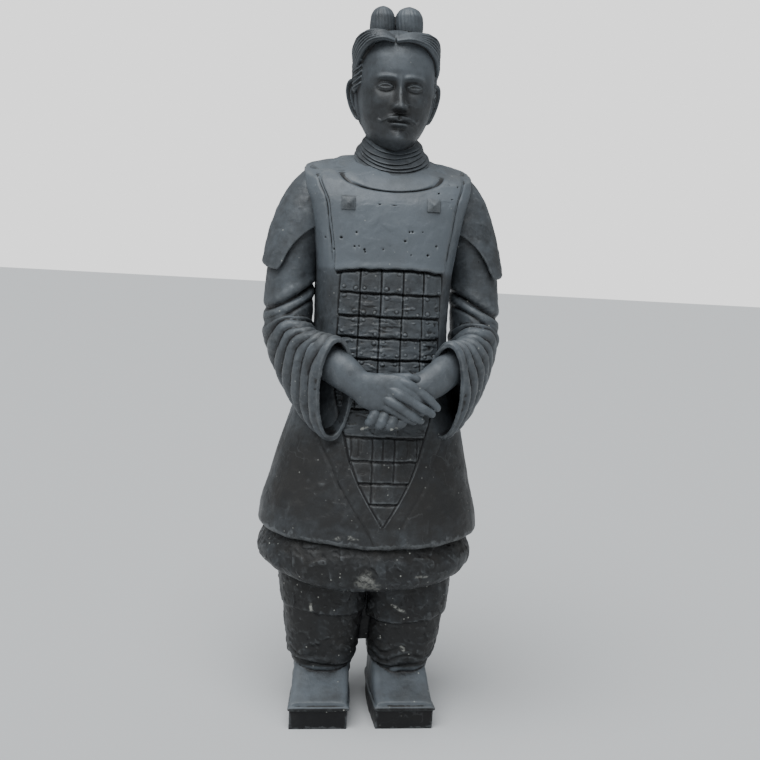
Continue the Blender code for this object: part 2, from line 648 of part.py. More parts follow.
def face_relief(x, z):
    """A calm, even face as a height over the front of the head."""
    across = np.abs(x)
    brow_line = BROW + 0.5 * np.cos(np.clip((across - 3.8) / 3.6, -1, 1) * math.pi / 2) - 0.25
    brow_ends = rise(across, 0.4, 1.6) * rise(6.8 - across, 0, 1.6)
    height = 0.42 * np.exp(-(((z - brow_line) / 0.75) ** 2)) * brow_ends
    height -= 0.95 * bump(across, z, (3.1, EYE[1]), (2.2, 1.35))
    ball = 1 - ((across - EYE[0]) / 2.0) ** 2 - ((z - EYE[1]) / 1.25) ** 2
    height += 0.95 * np.sqrt(np.clip(ball, 0, 1))
    along_eye = np.clip((across - EYE[0]) / EYE_HALF[0], -1, 1)
    upper_lid = EYE[1] + EYE_HALF[1] * (1 - along_eye**2) * 0.9
    lower_lid = EYE[1] - EYE_HALF[1] * (1 - along_eye**2) * 0.7
    in_eye = rise(EYE_HALF[0] + 0.15 - np.abs(across - EYE[0]), 0, 0.3)
    height += 0.2 * np.exp(-(((z - upper_lid) / 0.16) ** 2)) * in_eye
    height += 0.15 * np.exp(-(((z - lower_lid) / 0.16) ** 2)) * in_eye
    height -= 0.16 * np.exp(-(((z - upper_lid - 0.42) / 0.14) ** 2)) * in_eye
    down = np.clip((NOSE_BRIDGE - z) / (NOSE_BRIDGE - NOSE_FOOT), 0.0, 1.15)
    nose_ends = rise(z, NOSE_FOOT - 0.75, NOSE_FOOT + 0.35) * rise(NOSE_BRIDGE + 2.2 - z, 0, 2.4)
    ridge = NOSE_OUT * (0.38 + 0.62 * np.clip(down, 0, 1) ** 1.2) * (0.55 + 0.45 * down) * nose_ends
    height += ridge * np.exp(-((across / (0.95 + 0.55 * down)) ** 2.2))
    height += 0.85 * bump(across, z, (1.45, NOSE_FOOT + 0.75), (0.75, 0.8))
    height += 0.35 * bump(across, z, (0.0, NOSE_FOOT + 0.9), (1.0, 0.9))
    height += 0.35 * bump(across, z, (5.6, 153.6), (2.3, 2.4))
    height += 0.55 * bump(across, z, (0.0, MOUTH), (3.4, 2.2))
    mouth_fade = rise(MOUTH_HALF + 0.5 - across, 0.0, 1.2)
    bow = 0.18 * np.cos(np.clip(across / 0.9, 0, 1) * math.pi)
    height += 0.38 * np.exp(-(((z - MOUTH - 0.52 + bow) / 0.45) ** 2)) * mouth_fade
    height += 0.48 * np.exp(-(((z - MOUTH + 0.62) / 0.52) ** 2)) * rise(MOUTH_HALF - across, 0.0, 1.4)
    height -= 0.42 * np.exp(-(((z - MOUTH) / 0.16) ** 2)) * mouth_fade
    height -= 0.28 * bump(x, z, (0.0, MOUTH + 1.75), (0.38, 0.8))
    height -= 0.30 * bump(x, z, (0.0, MOUTH - 1.75), (2.0, 0.6))
    height += 0.65 * bump(x, z, (0.0, CHIN), (2.0, 1.5))
    height += 0.30 * stroke(across, z, [(u, MOUTH + up) for u, up in MOUSTACHE], 0.4, 0.4)
    height += 0.22 * bump(x, z, (0.0, MOUTH - 1.9), (0.55, 0.75))
    return height


def head(grain):
    levels = np.arange(HEAD[0][0], HEAD[-1][0] + grain / 2, grain)
    grid = turned(HEAD, levels, int(60 / grain))
    facing = rise(-grid[..., 1], 1.0, 6.5)
    relief = face_relief(grid[..., 0], grid[..., 2]) * facing
    skull = grid + np.array([0.0, -1.0, 0.0]) * relief[..., None]
    neck_levels = np.arange(NECK[0][0], NECK[-1][0], 2 * grain)
    neck = turned(NECK, neck_levels, int(36 / grain))
    place = np.array(HEAD_PLACE)
    return [form("face", skull + place), form("neck", neck + place)]


EAR_PROFILE = [
    (0.0, 0.02, -0.15),
    (0.15, 0.35, -0.35),
    (0.3, 0.62, -0.05),
    (0.42, 0.78, 0.12),
    (0.55, 0.93, 0.65),
    (0.65, 1.03, 0.45),
    (0.75, 1.0, -0.1),
    (0.9, 0.6, -1.1),
    (1.0, 0.05, -2.4),
]


def ear(name, side, grain):
    """An ear: a bowl inside a rolled rim, wide at the top and set closer to the head at the lobe."""
    share = np.arange(0.0, 1.0 + grain / 14, grain / 7)
    radius, height = through(EAR_PROFILE, share).T[..., None]
    angle = np.linspace(-math.pi, math.pi, int(26 / grain), endpoint=False)[None, :]
    wide = 1 + 0.22 * np.sin(angle)
    forward = radius * EAR_HALF_WIDTH * wide * np.cos(angle)
    up = radius * EAR_HALF_HEIGHT * np.sin(angle)
    splay = math.radians(38)
    out = height + 0.04 * up
    inward = EAR_TAPER * (EAR_HALF_HEIGHT - up)
    x = EAR_CENTRE[0] + out * math.cos(splay) - forward * math.sin(splay) - inward
    y = EAR_CENTRE[1] - out * math.sin(splay) - forward * math.cos(splay)
    z = np.broadcast_to(EAR_CENTRE[2] + up, x.shape)
    grid = np.flip(np.stack([x, y, z], axis=-1), axis=0)
    return form(name, (grid if side > 0 else mirrored(grid)) + np.array(HEAD_PLACE))


# Hair: a close cap combed up from the nape, two front rolls, and a knot of two lobes
HAIR_CAP = [
    (147.0, 6.6, 0.5, 8.6, 2.0),
    (149.5, 8.2, 0.5, 10.2, 2.1),
    (153.0, 9.6, 0.6, 11.4, 2.2),
    (158.0, 10.2, 1.4, 12.0, 2.2),
    (163.0, 10.3, 3.6, 12.0, 2.2),
    (166.5, 10.1, 7.6, 11.3, 2.1),
    (169.5, 9.2, 9.0, 9.8, 2.1),
    (171.8, 7.4, 7.4, 7.8, 2.0),
    (173.4, 4.6, 4.6, 5.0, 2.0),
]
FRONT_ROLL = [
    (0.2, -8.6, 168.9),
    (3.5, -8.5, 169.7),
    (6.5, -7.0, 169.6),
    (8.4, -4.4, 168.2),
    (9.1, -0.8, 165.8),
    (9.2, 3.0, 163.0),
]
FRONT_ROLL_WIDTHS = [
    (0.0, 0.7, 0.8),
    (0.15, 1.1, 1.4),
    (0.45, 1.6, 1.7),
    (0.7, 1.7, 1.6),
    (1.0, 0.8, 0.8),
]
KNOT_LOBE = [
    (168.0, 2.4, 2.2, 2.2, 2.0),
    (171.5, 3.1, 2.9, 3.0, 2.0),
    (174.5, 3.45, 3.5, 3.5, 2.0),
    (177.0, 3.3, 3.4, 3.4, 2.0),
    (178.8, 2.5, 2.5, 2.5, 2.0),
    (179.7, 1.2, 1.2, 1.2, 2.0),
    (180.0, 0.3, 0.3, 0.3, 2.0),
]
# Each lobe of the knot: its place across and its width as a share of the lobe above
KNOT_LOBES = [(-4.3, 0.8), (2.1, 1.1)]


def hair(grain):
    place = np.array(HEAD_PLACE)
    levels = np.arange(HAIR_CAP[0][0], HAIR_CAP[-1][0] + grain / 2, grain)
    cap = turned(HAIR_CAP, levels, int(62 / grain))
    around = np.arctan2(cap[..., 1], cap[..., 0])
    comb = STRAND_DEPTH * np.abs(np.sin(STRANDS_ROUND * around + 0.06 * (cap[..., 2] - 150)))
    made = [form("hair_cap", raised(cap, comb) + place)]
    shares = np.arange(0.0, 1.0 + grain / 40, grain / 20)
    for side in (-1, 1):
        roll, t, angle = swept(FRONT_ROLL, FRONT_ROLL_WIDTHS, shares, int(14 / grain), (0.0, 0.0, 1.0))
        strands = STRAND_DEPTH * np.abs(np.sin(3.5 * angle + 1.2 * t))
        roll = raised(roll, strands)
        roll = (roll if side > 0 else mirrored(roll)) + place
        roll[..., 0] += PARTING * (1 - t) ** 2
        made.append(form(f"front_roll_{side}", roll))
    for across, wide in KNOT_LOBES:
        levels = np.arange(KNOT_LOBE[0][0], KNOT_LOBE[-1][0] + grain / 2, grain)
        lobe = turned(KNOT_LOBE, levels, int(26 / grain)) * np.array([wide, 1.0, 1.0])
        made.append(form(f"knot_{across}", lobe + place + np.array([across, KNOT_DEPTH, 0.0])))
    return made


def pressed_together(parts, name, grain):
    """Fuses the modelled forms into one body of clay."""
    bpy.ops.object.select_all(action="DESELECT")
    for obj in parts:
        obj.select_set(True)
    bpy.context.view_layer.objects.active = parts[0]
    bpy.ops.object.join()
    body = bpy.context.view_layer.objects.active
    body.name = name
    body.data.name = name
    remesh = body.modifiers.new("clay", "REMESH")
    remesh.mode = "VOXEL"
    remesh.voxel_size = grain
    bpy.ops.object.modifier_apply(modifier="clay")
    return body


# Where the carving is fine: the lowest and highest corner of each region, and how lightly it is thinned
FINE_REGIONS = [
    ((-13.5, -22.0, 52.0), (13.5, -9.0, 115.0), 0.3),
    ((-14.0, -30.0, 77.0), (15.0, -19.0, 96.0), 0.3),
    ((-14.0, -16.0, 136.5), (14.0, 16.0, 181.0), 0.3),
    ((-10.5, -11.0, 138.0), (11.5, 0.0, 147.5), 0.05),
    ((-15.0, -17.0, 132.0), (15.0, -9.0, 139.5), 0.1),
    ((-6.5, -16.0, 144.0), (7.5, -8.0, 163.0), 0.05),
    ((-13.0, -18.0, 127.5), (-8.8, -10.0, 132.0), 0.0),
    ((7.6, -18.0, 127.5), (11.8, -10.0, 132.5), 0.0),
]
FINENESS = 2.0


def plain_clay(body):
    """Weighs the points outside the finely carved regions full, and the others lightly."""
    places = np.empty(len(body.data.vertices) * 3)
    body.data.vertices.foreach_get("co", places)
    places = places.reshape(-1, 3) / MODULE + BOX_CENTRE
    group = body.vertex_groups.new(name="plain_clay")
    group.add(list(range(len(places))), 1.0, "REPLACE")
    for low, high, weight in FINE_REGIONS:
        inside = ((places > low) & (places < high)).all(axis=1)
        group.add(np.flatnonzero(inside).tolist(), weight, "REPLACE")
    return group.name


def thinned(body, most_triangles):
    """Leaves the triangles where the form turns and takes them away where it is flat."""
    body.data.calc_loop_triangles()
    decimate = body.modifiers.new("thin", "DECIMATE")
    decimate.ratio = most_triangles / len(body.data.loop_triangles)
    decimate.vertex_group = plain_clay(body)
    decimate.vertex_group_factor = FINENESS
    bpy.context.view_layer.objects.active = body
    bpy.ops.object.modifier_apply(modifier="thin")


def stood_flat(body):
    """Slices the clay off level under the shoes, so that the figure stands on its soles."""
    bpy.ops.mesh.primitive_cube_add(size=1.0)
    slab = bpy.context.view_layer.objects.active
    slab.scale = (1.0, 1.0, 0.2)
    slab.location = (0.0, 0.0, -0.1)
    slab.display_type = "WIRE"
    slab.hide_render = True
    cut = body.modifiers.new("soles", "BOOLEAN")
    cut.operation = "DIFFERENCE"
    cut.solver = "EXACT"
    cut.object = slab
    bpy.context.view_layer.objects.active = body
    bpy.ops.object.modifier_apply(modifier="soles")
    bpy.data.objects.remove(slab)


def fired_clay():
    material = bpy.data.materials.new("dark_fired_clay")
    material.use_nodes = True
    shader = material.node_tree.nodes["Principled BSDF"]
    shader.inputs["Base Color"].default_value = CLAY_COLOUR
    shader.inputs["Roughness"].default_value = CLAY_ROUGHNESS
    shader.inputs["Metallic"].default_value = 0.0
    material.diffuse_color = CLAY_COLOUR
    return material


def figure_forms(grain, fine_grain):
    """Every form of the figure, coarse for dress and fine for hands and head."""
    parts = [coat(grain), under_robe(grain), crotch(grain)]
    for side, name in ((-1, "right"), (1, "left")):
        ankle, toe = ANKLES[side > 0], TOES[side > 0]
        parts.append(leg(f"{name}_leg", side, grain))
        parts.extend(shoe(f"{name}_shoe", ankle, toe, grain))
        parts.append(sleeve(f"{name}_sleeve", side, grain))
        parts.append(short_sleeve(f"{name}_short_sleeve", side, grain))
        parts.append(ear(f"{name}_ear", side, fine_grain))
    parts.extend(hands(fine_grain))
    parts.append(neck_cloth(fine_grain))
    parts.extend(boss(f"boss_{number}", place, fine_grain) for number, place in enumerate(BOSSES))
    parts.extend(head(fine_grain))
    parts.extend(hair(fine_grain))
    return parts


def main():
    clear_scene()
    body = pressed_together(figure_forms(DRESS_GRAIN, FINE_GRAIN), "warrior", CLAY_GRAIN)
    thinned(body, MOST_TRIANGLES)
    stood_flat(body)
    body.data.materials.clear()
    body.data.materials.append(fired_clay())
    body.data.shade_smooth()
    body.data.set_sharp_from_angle(angle=math.radians(40))


main()
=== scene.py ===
"""Dresses the packed clay warrior: its fine carving, worn edges and dust, and a plain studio."""

import math

import bmesh
import bpy
import numpy as np
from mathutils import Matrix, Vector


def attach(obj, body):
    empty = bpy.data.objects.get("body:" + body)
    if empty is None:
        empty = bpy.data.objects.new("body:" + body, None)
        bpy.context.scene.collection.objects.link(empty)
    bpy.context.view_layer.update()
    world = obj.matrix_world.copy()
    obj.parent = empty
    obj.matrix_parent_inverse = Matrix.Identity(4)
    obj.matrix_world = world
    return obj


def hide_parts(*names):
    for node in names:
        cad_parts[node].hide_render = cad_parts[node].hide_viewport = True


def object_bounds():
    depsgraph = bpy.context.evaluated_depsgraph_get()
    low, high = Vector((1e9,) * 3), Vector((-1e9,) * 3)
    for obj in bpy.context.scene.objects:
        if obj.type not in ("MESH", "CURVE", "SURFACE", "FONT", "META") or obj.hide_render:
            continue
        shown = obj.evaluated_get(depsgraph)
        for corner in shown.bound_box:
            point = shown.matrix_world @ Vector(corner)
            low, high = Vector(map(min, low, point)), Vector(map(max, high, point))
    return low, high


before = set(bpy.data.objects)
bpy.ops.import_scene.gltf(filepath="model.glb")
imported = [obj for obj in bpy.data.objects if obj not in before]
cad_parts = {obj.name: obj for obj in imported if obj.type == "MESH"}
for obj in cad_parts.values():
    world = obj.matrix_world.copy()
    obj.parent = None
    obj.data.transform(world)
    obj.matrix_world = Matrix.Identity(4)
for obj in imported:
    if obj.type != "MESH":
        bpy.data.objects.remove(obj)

bl_info = {
    "name": "Clay Warrior",
    "version": (1, 0, 0),
    "blender": (4, 5, 0),
    "location": "3D View > Sidebar > Warrior",
    "description": "Models a life-size warrior of dark fired clay, with its carving, wear and dust",
    "category": "Add Mesh",
}

# All shapes below are written in modules: a hundred-and-eightieth of the figure's height
FRAME_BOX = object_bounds()
MODULE = round((FRAME_BOX[1].z - FRAME_BOX[0].z) / 180, 4)
BOX_CENTRE = np.array([0.46, -3.3, 0.0])
CAST_NODE = "warrior"
SIDES = ((-1, "right"), (1, "left"))

# The waist is drawn up by the first, and the figure's left shoulder slopes up by the second
WAIST_LIFT = 3.0
SHOULDER_SLOPE = 0.035

# Coat and armour
COAT_HEM = 45.0
HEM_RISE = 2.2
SKIRT_SHIFT = -0.6
ROBE_SHIFT = -1.0
COLLAR_TOP = 140.6
NECK_LEAN = 0.36
CHEST_PLATE_FOOT = 112.0
ARMOUR_MIDDLE = 0.5
COLLAR_CENTRE = 142.0
COLLAR_OVAL = (14.8, 7.5)
BOSSES = [(-10.95, 127.5), (9.65, 127.9)]
BOSS_HALF = 1.55
BOSS_FOOT = 0.8
BOSS_ROOT = -1.5
BOSS_LIFT = 2.6
BOSS_GRAIN = 0.12
RIVET_BESIDE = 1.15
RIVET_SEED = 41

# Legs and shoes
LEG_SHIFT = -0.3
SOLE_HEIGHT = 5.4
WELT_HEIGHT = 0.9
WELT_STAND_OUT = 0.45
BELOW_GROUND = -1.5
SHOE_SQUARENESS = 7.0
SHOE_TOP = 13.0
SHOE_COLUMNS = 200
TOE_REACH = 16.0
LEG_SQUARENESS = 2.3
# Where the middle of each shoe lies at the ankle and at the toe, the right shoe first
ANKLES = (-10.4, 9.2)
TOES = (-12.2, 9.6)
# How lumpy the shoes are, and how much more the cloth above them is
SHOE_LUMPS = 0.35
CLOTH_LUMPS = 1.45

# Sleeves
SLEEVE_LENGTH = 75
SHORT_SLEEVE_LENGTH = 26
CUFF_WALL = 1.0
CUFF_DEPTH = 0.24
FOLDS = 7
FOLDS_FROM = 0.56
ELBOW_CREASE = 0.47
SHORT_SLEEVE_WALL = 0.8
SHORT_SLEEVE_STAND = 1.6
SHORT_SLEEVE_DEPTH = 0.18
LEFT_ARM_OUT = 1.3

# Neck cloth
NECK_CLOTH_ROLLS = 6
NECK_CLOTH_FOOT = 140.3
NECK_CLOTH_RISE = 5.4
NECK_CLOTH_LEAN = 0.55
NECK_CLOTH_PLACE = (0.8, 0.5)
NECK_CLOTH_STEP = 0.009
NECK_CLOTH_COLUMNS = 360

# Head, ears and hair
HEAD_PLACE = np.array([0.5, -0.4, 0.0])
EAR_CENTRE = (10.3, 0.8, 154.9)
EAR_HALF_HEIGHT = 5.1
EAR_HALF_WIDTH = 2.7
EAR_TAPER = 0.16
PARTING = -1.7
KNOT_DEPTH = 1.5
STRANDS_ROUND = 18

# The face is a plain canon: the eyes halfway up, the nose one third, the mouth a third below it
BROW = 159.2
EYE = (3.6, 157.0)
EYE_HALF = (1.75, 0.62)
NOSE_FOOT = 151.3
NOSE_BRIDGE = 158.4
NOSE_OUT = 2.7
MOUTH = 148.2
MOUTH_HALF = 2.7
CHIN = 144.2
MOUSTACHE = [(0.3, 1.35), (2.4, 1.15), (4.3, 0.2), (5.0, 0.7)]


def length(name, description, modules):
    """A length that the carving uses, told in modules and kept in metres."""
    default = modules * MODULE
    return bpy.props.FloatProperty(name=name, description=description, default=default, unit="LENGTH")


def colour(name, description, default):
    """A colour that a user may change."""
    return bpy.props.FloatVectorProperty(
        name=name, description=description, default=default, subtype="COLOR", size=4, min=0, max=1
    )


def setting(name, description, default, **kind):
    """A single number that a user may change."""
    return bpy.props.FloatProperty(name=name, description=description, default=default, **kind)


class WarriorSizes(bpy.types.PropertyGroup):
    """How deep the carving goes and how fine the clay is modelled"""

    scale_raise: length("Scale raise", "How far the foot of an armour scale stands out", 0.55)
    groove: length("Groove", "Depth of the lines cut between the scales", 0.65)
    plate_raise: length("Chest plate raise", "How far the chest plate stands out over the scales", 0.6)
    rivet: length("Rivet", "Radius of a scale's domed rivet", 0.42)
    boss_raise: length("Boss raise", "How far the two pyramids stand out of the chest", 2.3)
    fold: length("Sleeve fold", "Height of the folds pushed together on the forearms", 1.6)
    neck_roll: length("Neck roll", "Height of the rolls wound round the neck", 1.15)
    strand: length("Strand", "Depth of the comb lines in the hair", 0.32)
    unevenness: length("Unevenness", "How far the hand-pressed clay strays from a true surface", 0.05)
    fine_grain: length("Fine grain", "Grain of the clay on the head and the hands", 0.14)
    grain: length("Grain", "Grain of the clay on the sleeves, the legs and the shoes", 0.23)


class WarriorFinish(bpy.types.PropertyGroup):
    """The colours of the fired clay, of what lies on it, and of the shade and highlight painted on it"""

    clay: colour("Clay", "The dark fired clay", (0.106, 0.121, 0.136, 1.0))
    # Mixed in for the firing's darkening, and also as painted shade on the lower body, the legs and the face
    smoked_and_shaded: colour("Smoked clay", "Where the fire left it nearly black", (0.0165, 0.0165, 0.0168, 1.0))
    # Laid on rubbed edges, and also as a painted highlight on raised edges and ridge tops
    worn: colour("Worn clay", "Edges that hands and weather have rubbed", (0.166, 0.177, 0.184, 1.0))
    dust: colour("Dust", "Earth settled low on the figure", (0.046, 0.039, 0.031, 1.0))
    # The darkest colour: painted shade in deep hollows and cut lines, and the shoes' black soles, which are
    # also painted into deeper shade
    soot_and_deep_shade: colour("Soot And Deep Shade", "The darkest hollows, and the shoes' soles", (0.006, 0.006, 0.007, 1.0))
    lime: colour("Lime", "Pale flecks and straw stuck to the clay", (0.42, 0.42, 0.38, 1.0))
    roughness: setting("Roughness", "Roughness of the bare clay", 0.46, subtype="FACTOR", min=0, max=1)


class WarriorStage(bpy.types.PropertyGroup):
    """The camera of the photograph and a plain studio"""

    distance: setting("Distance", "From the figure's axis to the camera", 2.6, unit="LENGTH")
    turn: setting("Turn", "How far the camera stands to the right", math.radians(8.0), subtype="ANGLE")
    height: setting("Height", "Height of the camera over the floor", 1.15, unit="LENGTH")
    pitch: setting("Pitch", "How far the camera looks down", math.radians(6.2), subtype="ANGLE")
    roll: setting("Roll", "How far the camera leans to one side", math.radians(3.2), subtype="ANGLE")
    focal: setting("Focal length", "Focal length in widths of the square picture", 1028 / 760)
    sky: setting("Sky", "Strength of the broad soft light overhead", 4.2)
    softness: setting("Softness", "How broad the light overhead is", math.radians(58.0), subtype="ANGLE")
    air: setting("Air", "Strength of the even light from all round", 0.35)
    backdrop: setting("Backdrop", "Brightness of the plain backdrop behind the figure", 1.6)


def through(stations, at):
    """Reads a smooth curve through rows of (position, value, ...), which never overshoots them."""
    table = np.array(stations, float)
    x, y = table[:, 0], table[:, 1:]
    step = np.diff(x)[:, None]
    secant = np.diff(y, axis=0) / step
    before, after = secant[:-1], secant[1:]
    same_way = before * after > 0
    total = np.where(same_way, before + after, 1.0)
    middle = np.where(same_way, 2 * before * after / total, 0.0)
    slope = np.vstack([secant[:1], middle, secant[-1:]])
    at = np.clip(np.atleast_1d(np.asarray(at, float)), x[0], x[-1])
    i = np.clip(np.searchsorted(x, at, side="right") - 1, 0, len(x) - 2)
    t = ((at - x[i]) / step[i, 0])[:, None]
    start, end = slope[i] * step[i], slope[i + 1] * step[i]
    return (
        (2 * t**3 - 3 * t**2 + 1) * y[i]
        + (t**3 - 2 * t**2 + t) * start
        + (3 * t**2 - 2 * t**3) * y[i + 1]
        + (t**3 - t**2) * end
    )


def rise(value, low, high):
    """0 below low, 1 above high, and a soft ramp between them."""
    t = np.clip((value - low) / (high - low), 0.0, 1.0)
    return t * t * (3 - 2 * t)


def line(distance, width):
    """A soft line: 1 where the distance is nothing, falling off over the width."""
    return np.exp(-((distance / width) ** 2))


def lapped(turns, foot):
    """Height of cloth that laps over itself once a turn: a foot as short as told, then a long slope."""
    turn = turns % 1.0
    return rise(turn, 0.0, foot) * (1 - 0.75 * rise(turn, 1.5 * foot, 1.0))


def bump(x, z, centre, spread):
    """A round swelling of height 1 at centre."""
    return np.exp(-(((x - centre[0]) / spread[0]) ** 2) - ((z - centre[1]) / spread[1]) ** 2)


def stroke(x, z, points, width, taper=0.0):
    """A soft stroke of the tool along points: 1 on its line, thinner by taper towards its end."""
    nearest = np.full(np.shape(x), np.inf)
    along = np.zeros(np.shape(x))
    pieces = len(points) - 1
    for i, (a, b) in enumerate(zip(points[:-1], points[1:])):
        ax, az, dx, dz = a[0], a[1], b[0] - a[0], b[1] - a[1]
        t = np.clip(((x - ax) * dx + (z - az) * dz) / (dx * dx + dz * dz), 0.0, 1.0)
        far = np.hypot(x - ax - t * dx, z - az - t * dz)
        along = np.where(far < nearest, (i + t) / pieces, along)
        nearest = np.minimum(nearest, far)
    return line(nearest, width * (1 - taper * along)) * (1 - taper * along)


def uneven(points, lump, seed):
    """Smooth unevenness of about unit height, with lumps of the given size, the same each run."""
    draw = np.random.default_rng(seed)
    total = np.zeros(points.shape[:-1])
    for _ in range(12):
        way = draw.normal(size=3)
        way *= 2 * math.pi / (lump * draw.uniform(1.0, 2.2) * np.linalg.norm(way))
        total += np.sin(points @ way + draw.uniform(0, 2 * math.pi) + 0.8 * total)
    return total / 3.0


def oval(angle, half_width, front, back, squareness):
    """Points of a body section round the Z axis: flatter than an ellipse as squareness grows."""
    c, s = np.cos(angle), np.sin(angle)
    power = 2.0 / squareness
    x = half_width * np.sign(c) * np.abs(c) ** power
    y = np.where(s < 0, front, back) * np.sign(s) * np.abs(s) ** power
    return x, y


def normals_of(grid):
    """Unit normals of a closed ring grid, rows along the form and columns round it."""
    round_ring = np.roll(grid, -1, axis=1) - np.roll(grid, 1, axis=1)
    along = np.gradient(grid, axis=0)
    normal = np.cross(round_ring, along)
    return normal / np.maximum(np.linalg.norm(normal, axis=2, keepdims=True), 1e-9)


def raised(grid, height):
    """The grid with every point moved out along its normal by height, in modules."""
    return grid + normals_of(grid) * height[..., None]


def settled(points):
    """The points in the figure's own stance: a raised waist and one shoulder over the other."""
    x, z = points[..., 0], points[..., 2]
    lift = WAIST_LIFT * (1 - ((z - 90) / 90) ** 2)
    lift += SHOULDER_SLOPE * np.maximum(x, 0) * rise(z, 118, 132) * rise(-z, -144, -140)
    return np.concatenate([points[..., :2], (z + lift)[..., None]], axis=-1)


def form(name, grid):
    """A closed mesh object from a ring grid in modules, with a cap over each end."""
    grid = settled(grid)
    rows, columns = grid.shape[:2]
    index = np.arange(rows * columns).reshape(rows, columns)
    following = np.roll(index, -1, axis=1)
    sides = np.stack([index[:-1], following[:-1], following[1:], index[1:]], axis=-1)
    first, last = rows * columns, rows * columns + 1
    caps = [(first, b, a) for a, b in zip(index[0], following[0])]
    caps += [(last, a, b) for a, b in zip(index[-1], following[-1])]
    points = np.vstack([grid.reshape(-1, 3), grid[0].mean(0), grid[-1].mean(0)])
    mesh = bpy.data.meshes.new(name)
    mesh.from_pydata(((points - BOX_CENTRE) * MODULE).tolist(), [], sides.reshape(-1, 4).tolist() + caps)
    obj = bpy.data.objects.new(name, mesh)
    bpy.context.scene.collection.objects.link(obj)
    return obj


def turned(stations, levels, angle):
    """A loft up the Z axis through stations of (z, half width, front, back, squareness)."""
    half_width, front, back, squareness = through(stations, levels).T[..., None]
    x, y = oval(angle[None, :], half_width, front, back, squareness)
    z = np.broadcast_to(levels[:, None], x.shape)
    return np.stack([x, y, z], axis=-1)


# Rough girth of each form in modules, which sets how many columns it is given
GIRTHS = {
    "robe": 150,
    "leg": 62,
    "crotch": 30,
    "sleeve": 58,
    "short_sleeve": 62,
    "head": 60,
    "neck": 36,
    "ear": 26,
    "cap": 62,
    "lock": 8,
    "knot": 26,
}


def round_turn(columns):
    """Angles once round, from the back of the figure's right side."""
    return np.linspace(-math.pi, math.pi, int(columns), endpoint=False)


def closer_in_front(columns, share):
    """Angles once round that lie closer together on the figure's front, by share."""
    u = round_turn(columns)
    return -math.pi / 2 + u - share * np.sin(u)


def swept(path, widths, shares, columns, side_hint, inset=0.0, reach_of=None):
    """A tube along a smooth path, whose columns run round it from the side that side_hint names.

    widths holds stations of (share of the path, half width, half height). shares are the rows'
    places along the path, inset thins the tube row by row, and reach_of says what share of the
    path each column runs to, for an end that isn't square. Returns the grid, its shares and angles.
    """
    path = np.array(path, float)
    shares = np.asarray(shares, float)
    angle = round_turn(columns)
    stop = np.ones(len(angle)) if reach_of is None else reach_of(angle)
    t = shares[:, None] * stop[None, :]
    stations = np.column_stack([np.linspace(0.0, 1.0, len(path)), path])

    def at(place):
        return through(stations, np.clip(place, 0.0, 1.0).ravel()).reshape(*t.shape, 3)

    along = at(t + 0.02) - at(t - 0.02)
    along /= np.linalg.norm(along, axis=-1, keepdims=True)
    hint = np.array(side_hint, float)
    side = hint - along * (along @ hint)[..., None]
    side /= np.linalg.norm(side, axis=-1, keepdims=True)
    top = np.cross(along, side)
    width, height = through(widths, t.ravel()).reshape(*t.shape, 2).transpose(2, 0, 1)
    thinner = np.broadcast_to(np.asarray(inset, float), shares.shape)[:, None]
    across = (np.maximum(width - thinner, 0.05) * np.cos(angle))[..., None]
    upward = (np.maximum(height - thinner, 0.05) * np.sin(angle))[..., None]
    return at(t) + side * across + top * upward, t, np.broadcast_to(angle, t.shape)


def mirrored(grid):
    """The same form on the figure's other side."""
    return np.flip(grid, axis=1) * np.array([-1.0, 1.0, 1.0])


def joined(parts, name):
    """One object made of all the parts."""
    bpy.ops.object.select_all(action="DESELECT")
    for obj in parts:
        obj.select_set(True)
    bpy.context.view_layer.objects.active = parts[0]
    bpy.ops.object.join()
    body = bpy.context.view_layer.objects.active
    body.name = name
    body.data.name = name
    return body


def pressed_together(parts, name, grain):
    """Fuses the modelled forms into one body of clay."""
    body = joined(parts, name)
    remesh = body.modifiers.new("clay", "REMESH")
    remesh.mode = "VOXEL"
    remesh.voxel_size = grain
    bpy.ops.object.modifier_apply(modifier="clay")
    return body


def places_of(mesh):
    """The mesh's points, in metres."""
    places = np.empty(len(mesh.vertices) * 3)
    mesh.vertices.foreach_get("co", places)
    return places.reshape(-1, 3)


def normals_at(mesh):
    """The mesh's normal at each point."""
    normals = np.empty(len(mesh.vertices) * 3)
    mesh.vertices.foreach_get("normal", normals)
    return normals.reshape(-1, 3)


def moved_out(body, height):
    """Moves each point of the body out along its normal by height, in modules."""
    mesh = body.data
    places = places_of(mesh) + normals_at(mesh) * (height * MODULE)[:, None]
    mesh.vertices.foreach_set("co", places.ravel())
    mesh.update()


# How unevenly each piece is pressed: its share of the unevenness, then each (lump, seed, share)
LUMPS = {
    "legs_and_shoes": (1.0, ((4.5, 11, 1.0), (1.6, 12, 0.5))),
    "sleeves": (0.8, ((5.0, 21, 1.0), (1.8, 22, 0.5))),
    "hands": (0.3, ((2.2, 31, 1.0),)),
    "head": (0.25, ((2.6, 41, 1.0),)),
}


def pressed_by_hand(body, unevenness, share_at=None):
    """Moves the clay in and out as hands leave it; share_at says how much of that each height gets."""
    depth, lumps = LUMPS[body.name]
    points = in_modules(body)
    roughened = sum(share * uneven(points, lump, seed) for lump, seed, share in lumps)
    share = 1.0 if share_at is None else share_at(points[:, 2])
    moved_out(body, depth * unevenness / MODULE * roughened * share)


def in_modules(body):
    """The body's points in the figure's own modules."""
    return places_of(body.data) / MODULE + BOX_CENTRE


# The most triangles that each piece keeps
MOST_TRIANGLES = {
    "armour_and_coat": 192000,
    "legs_and_shoes": 180000,
    "sleeves": 190000,
    "hands": 130000,
    "neck_cloth": 80000,
    "head": 195000,
}


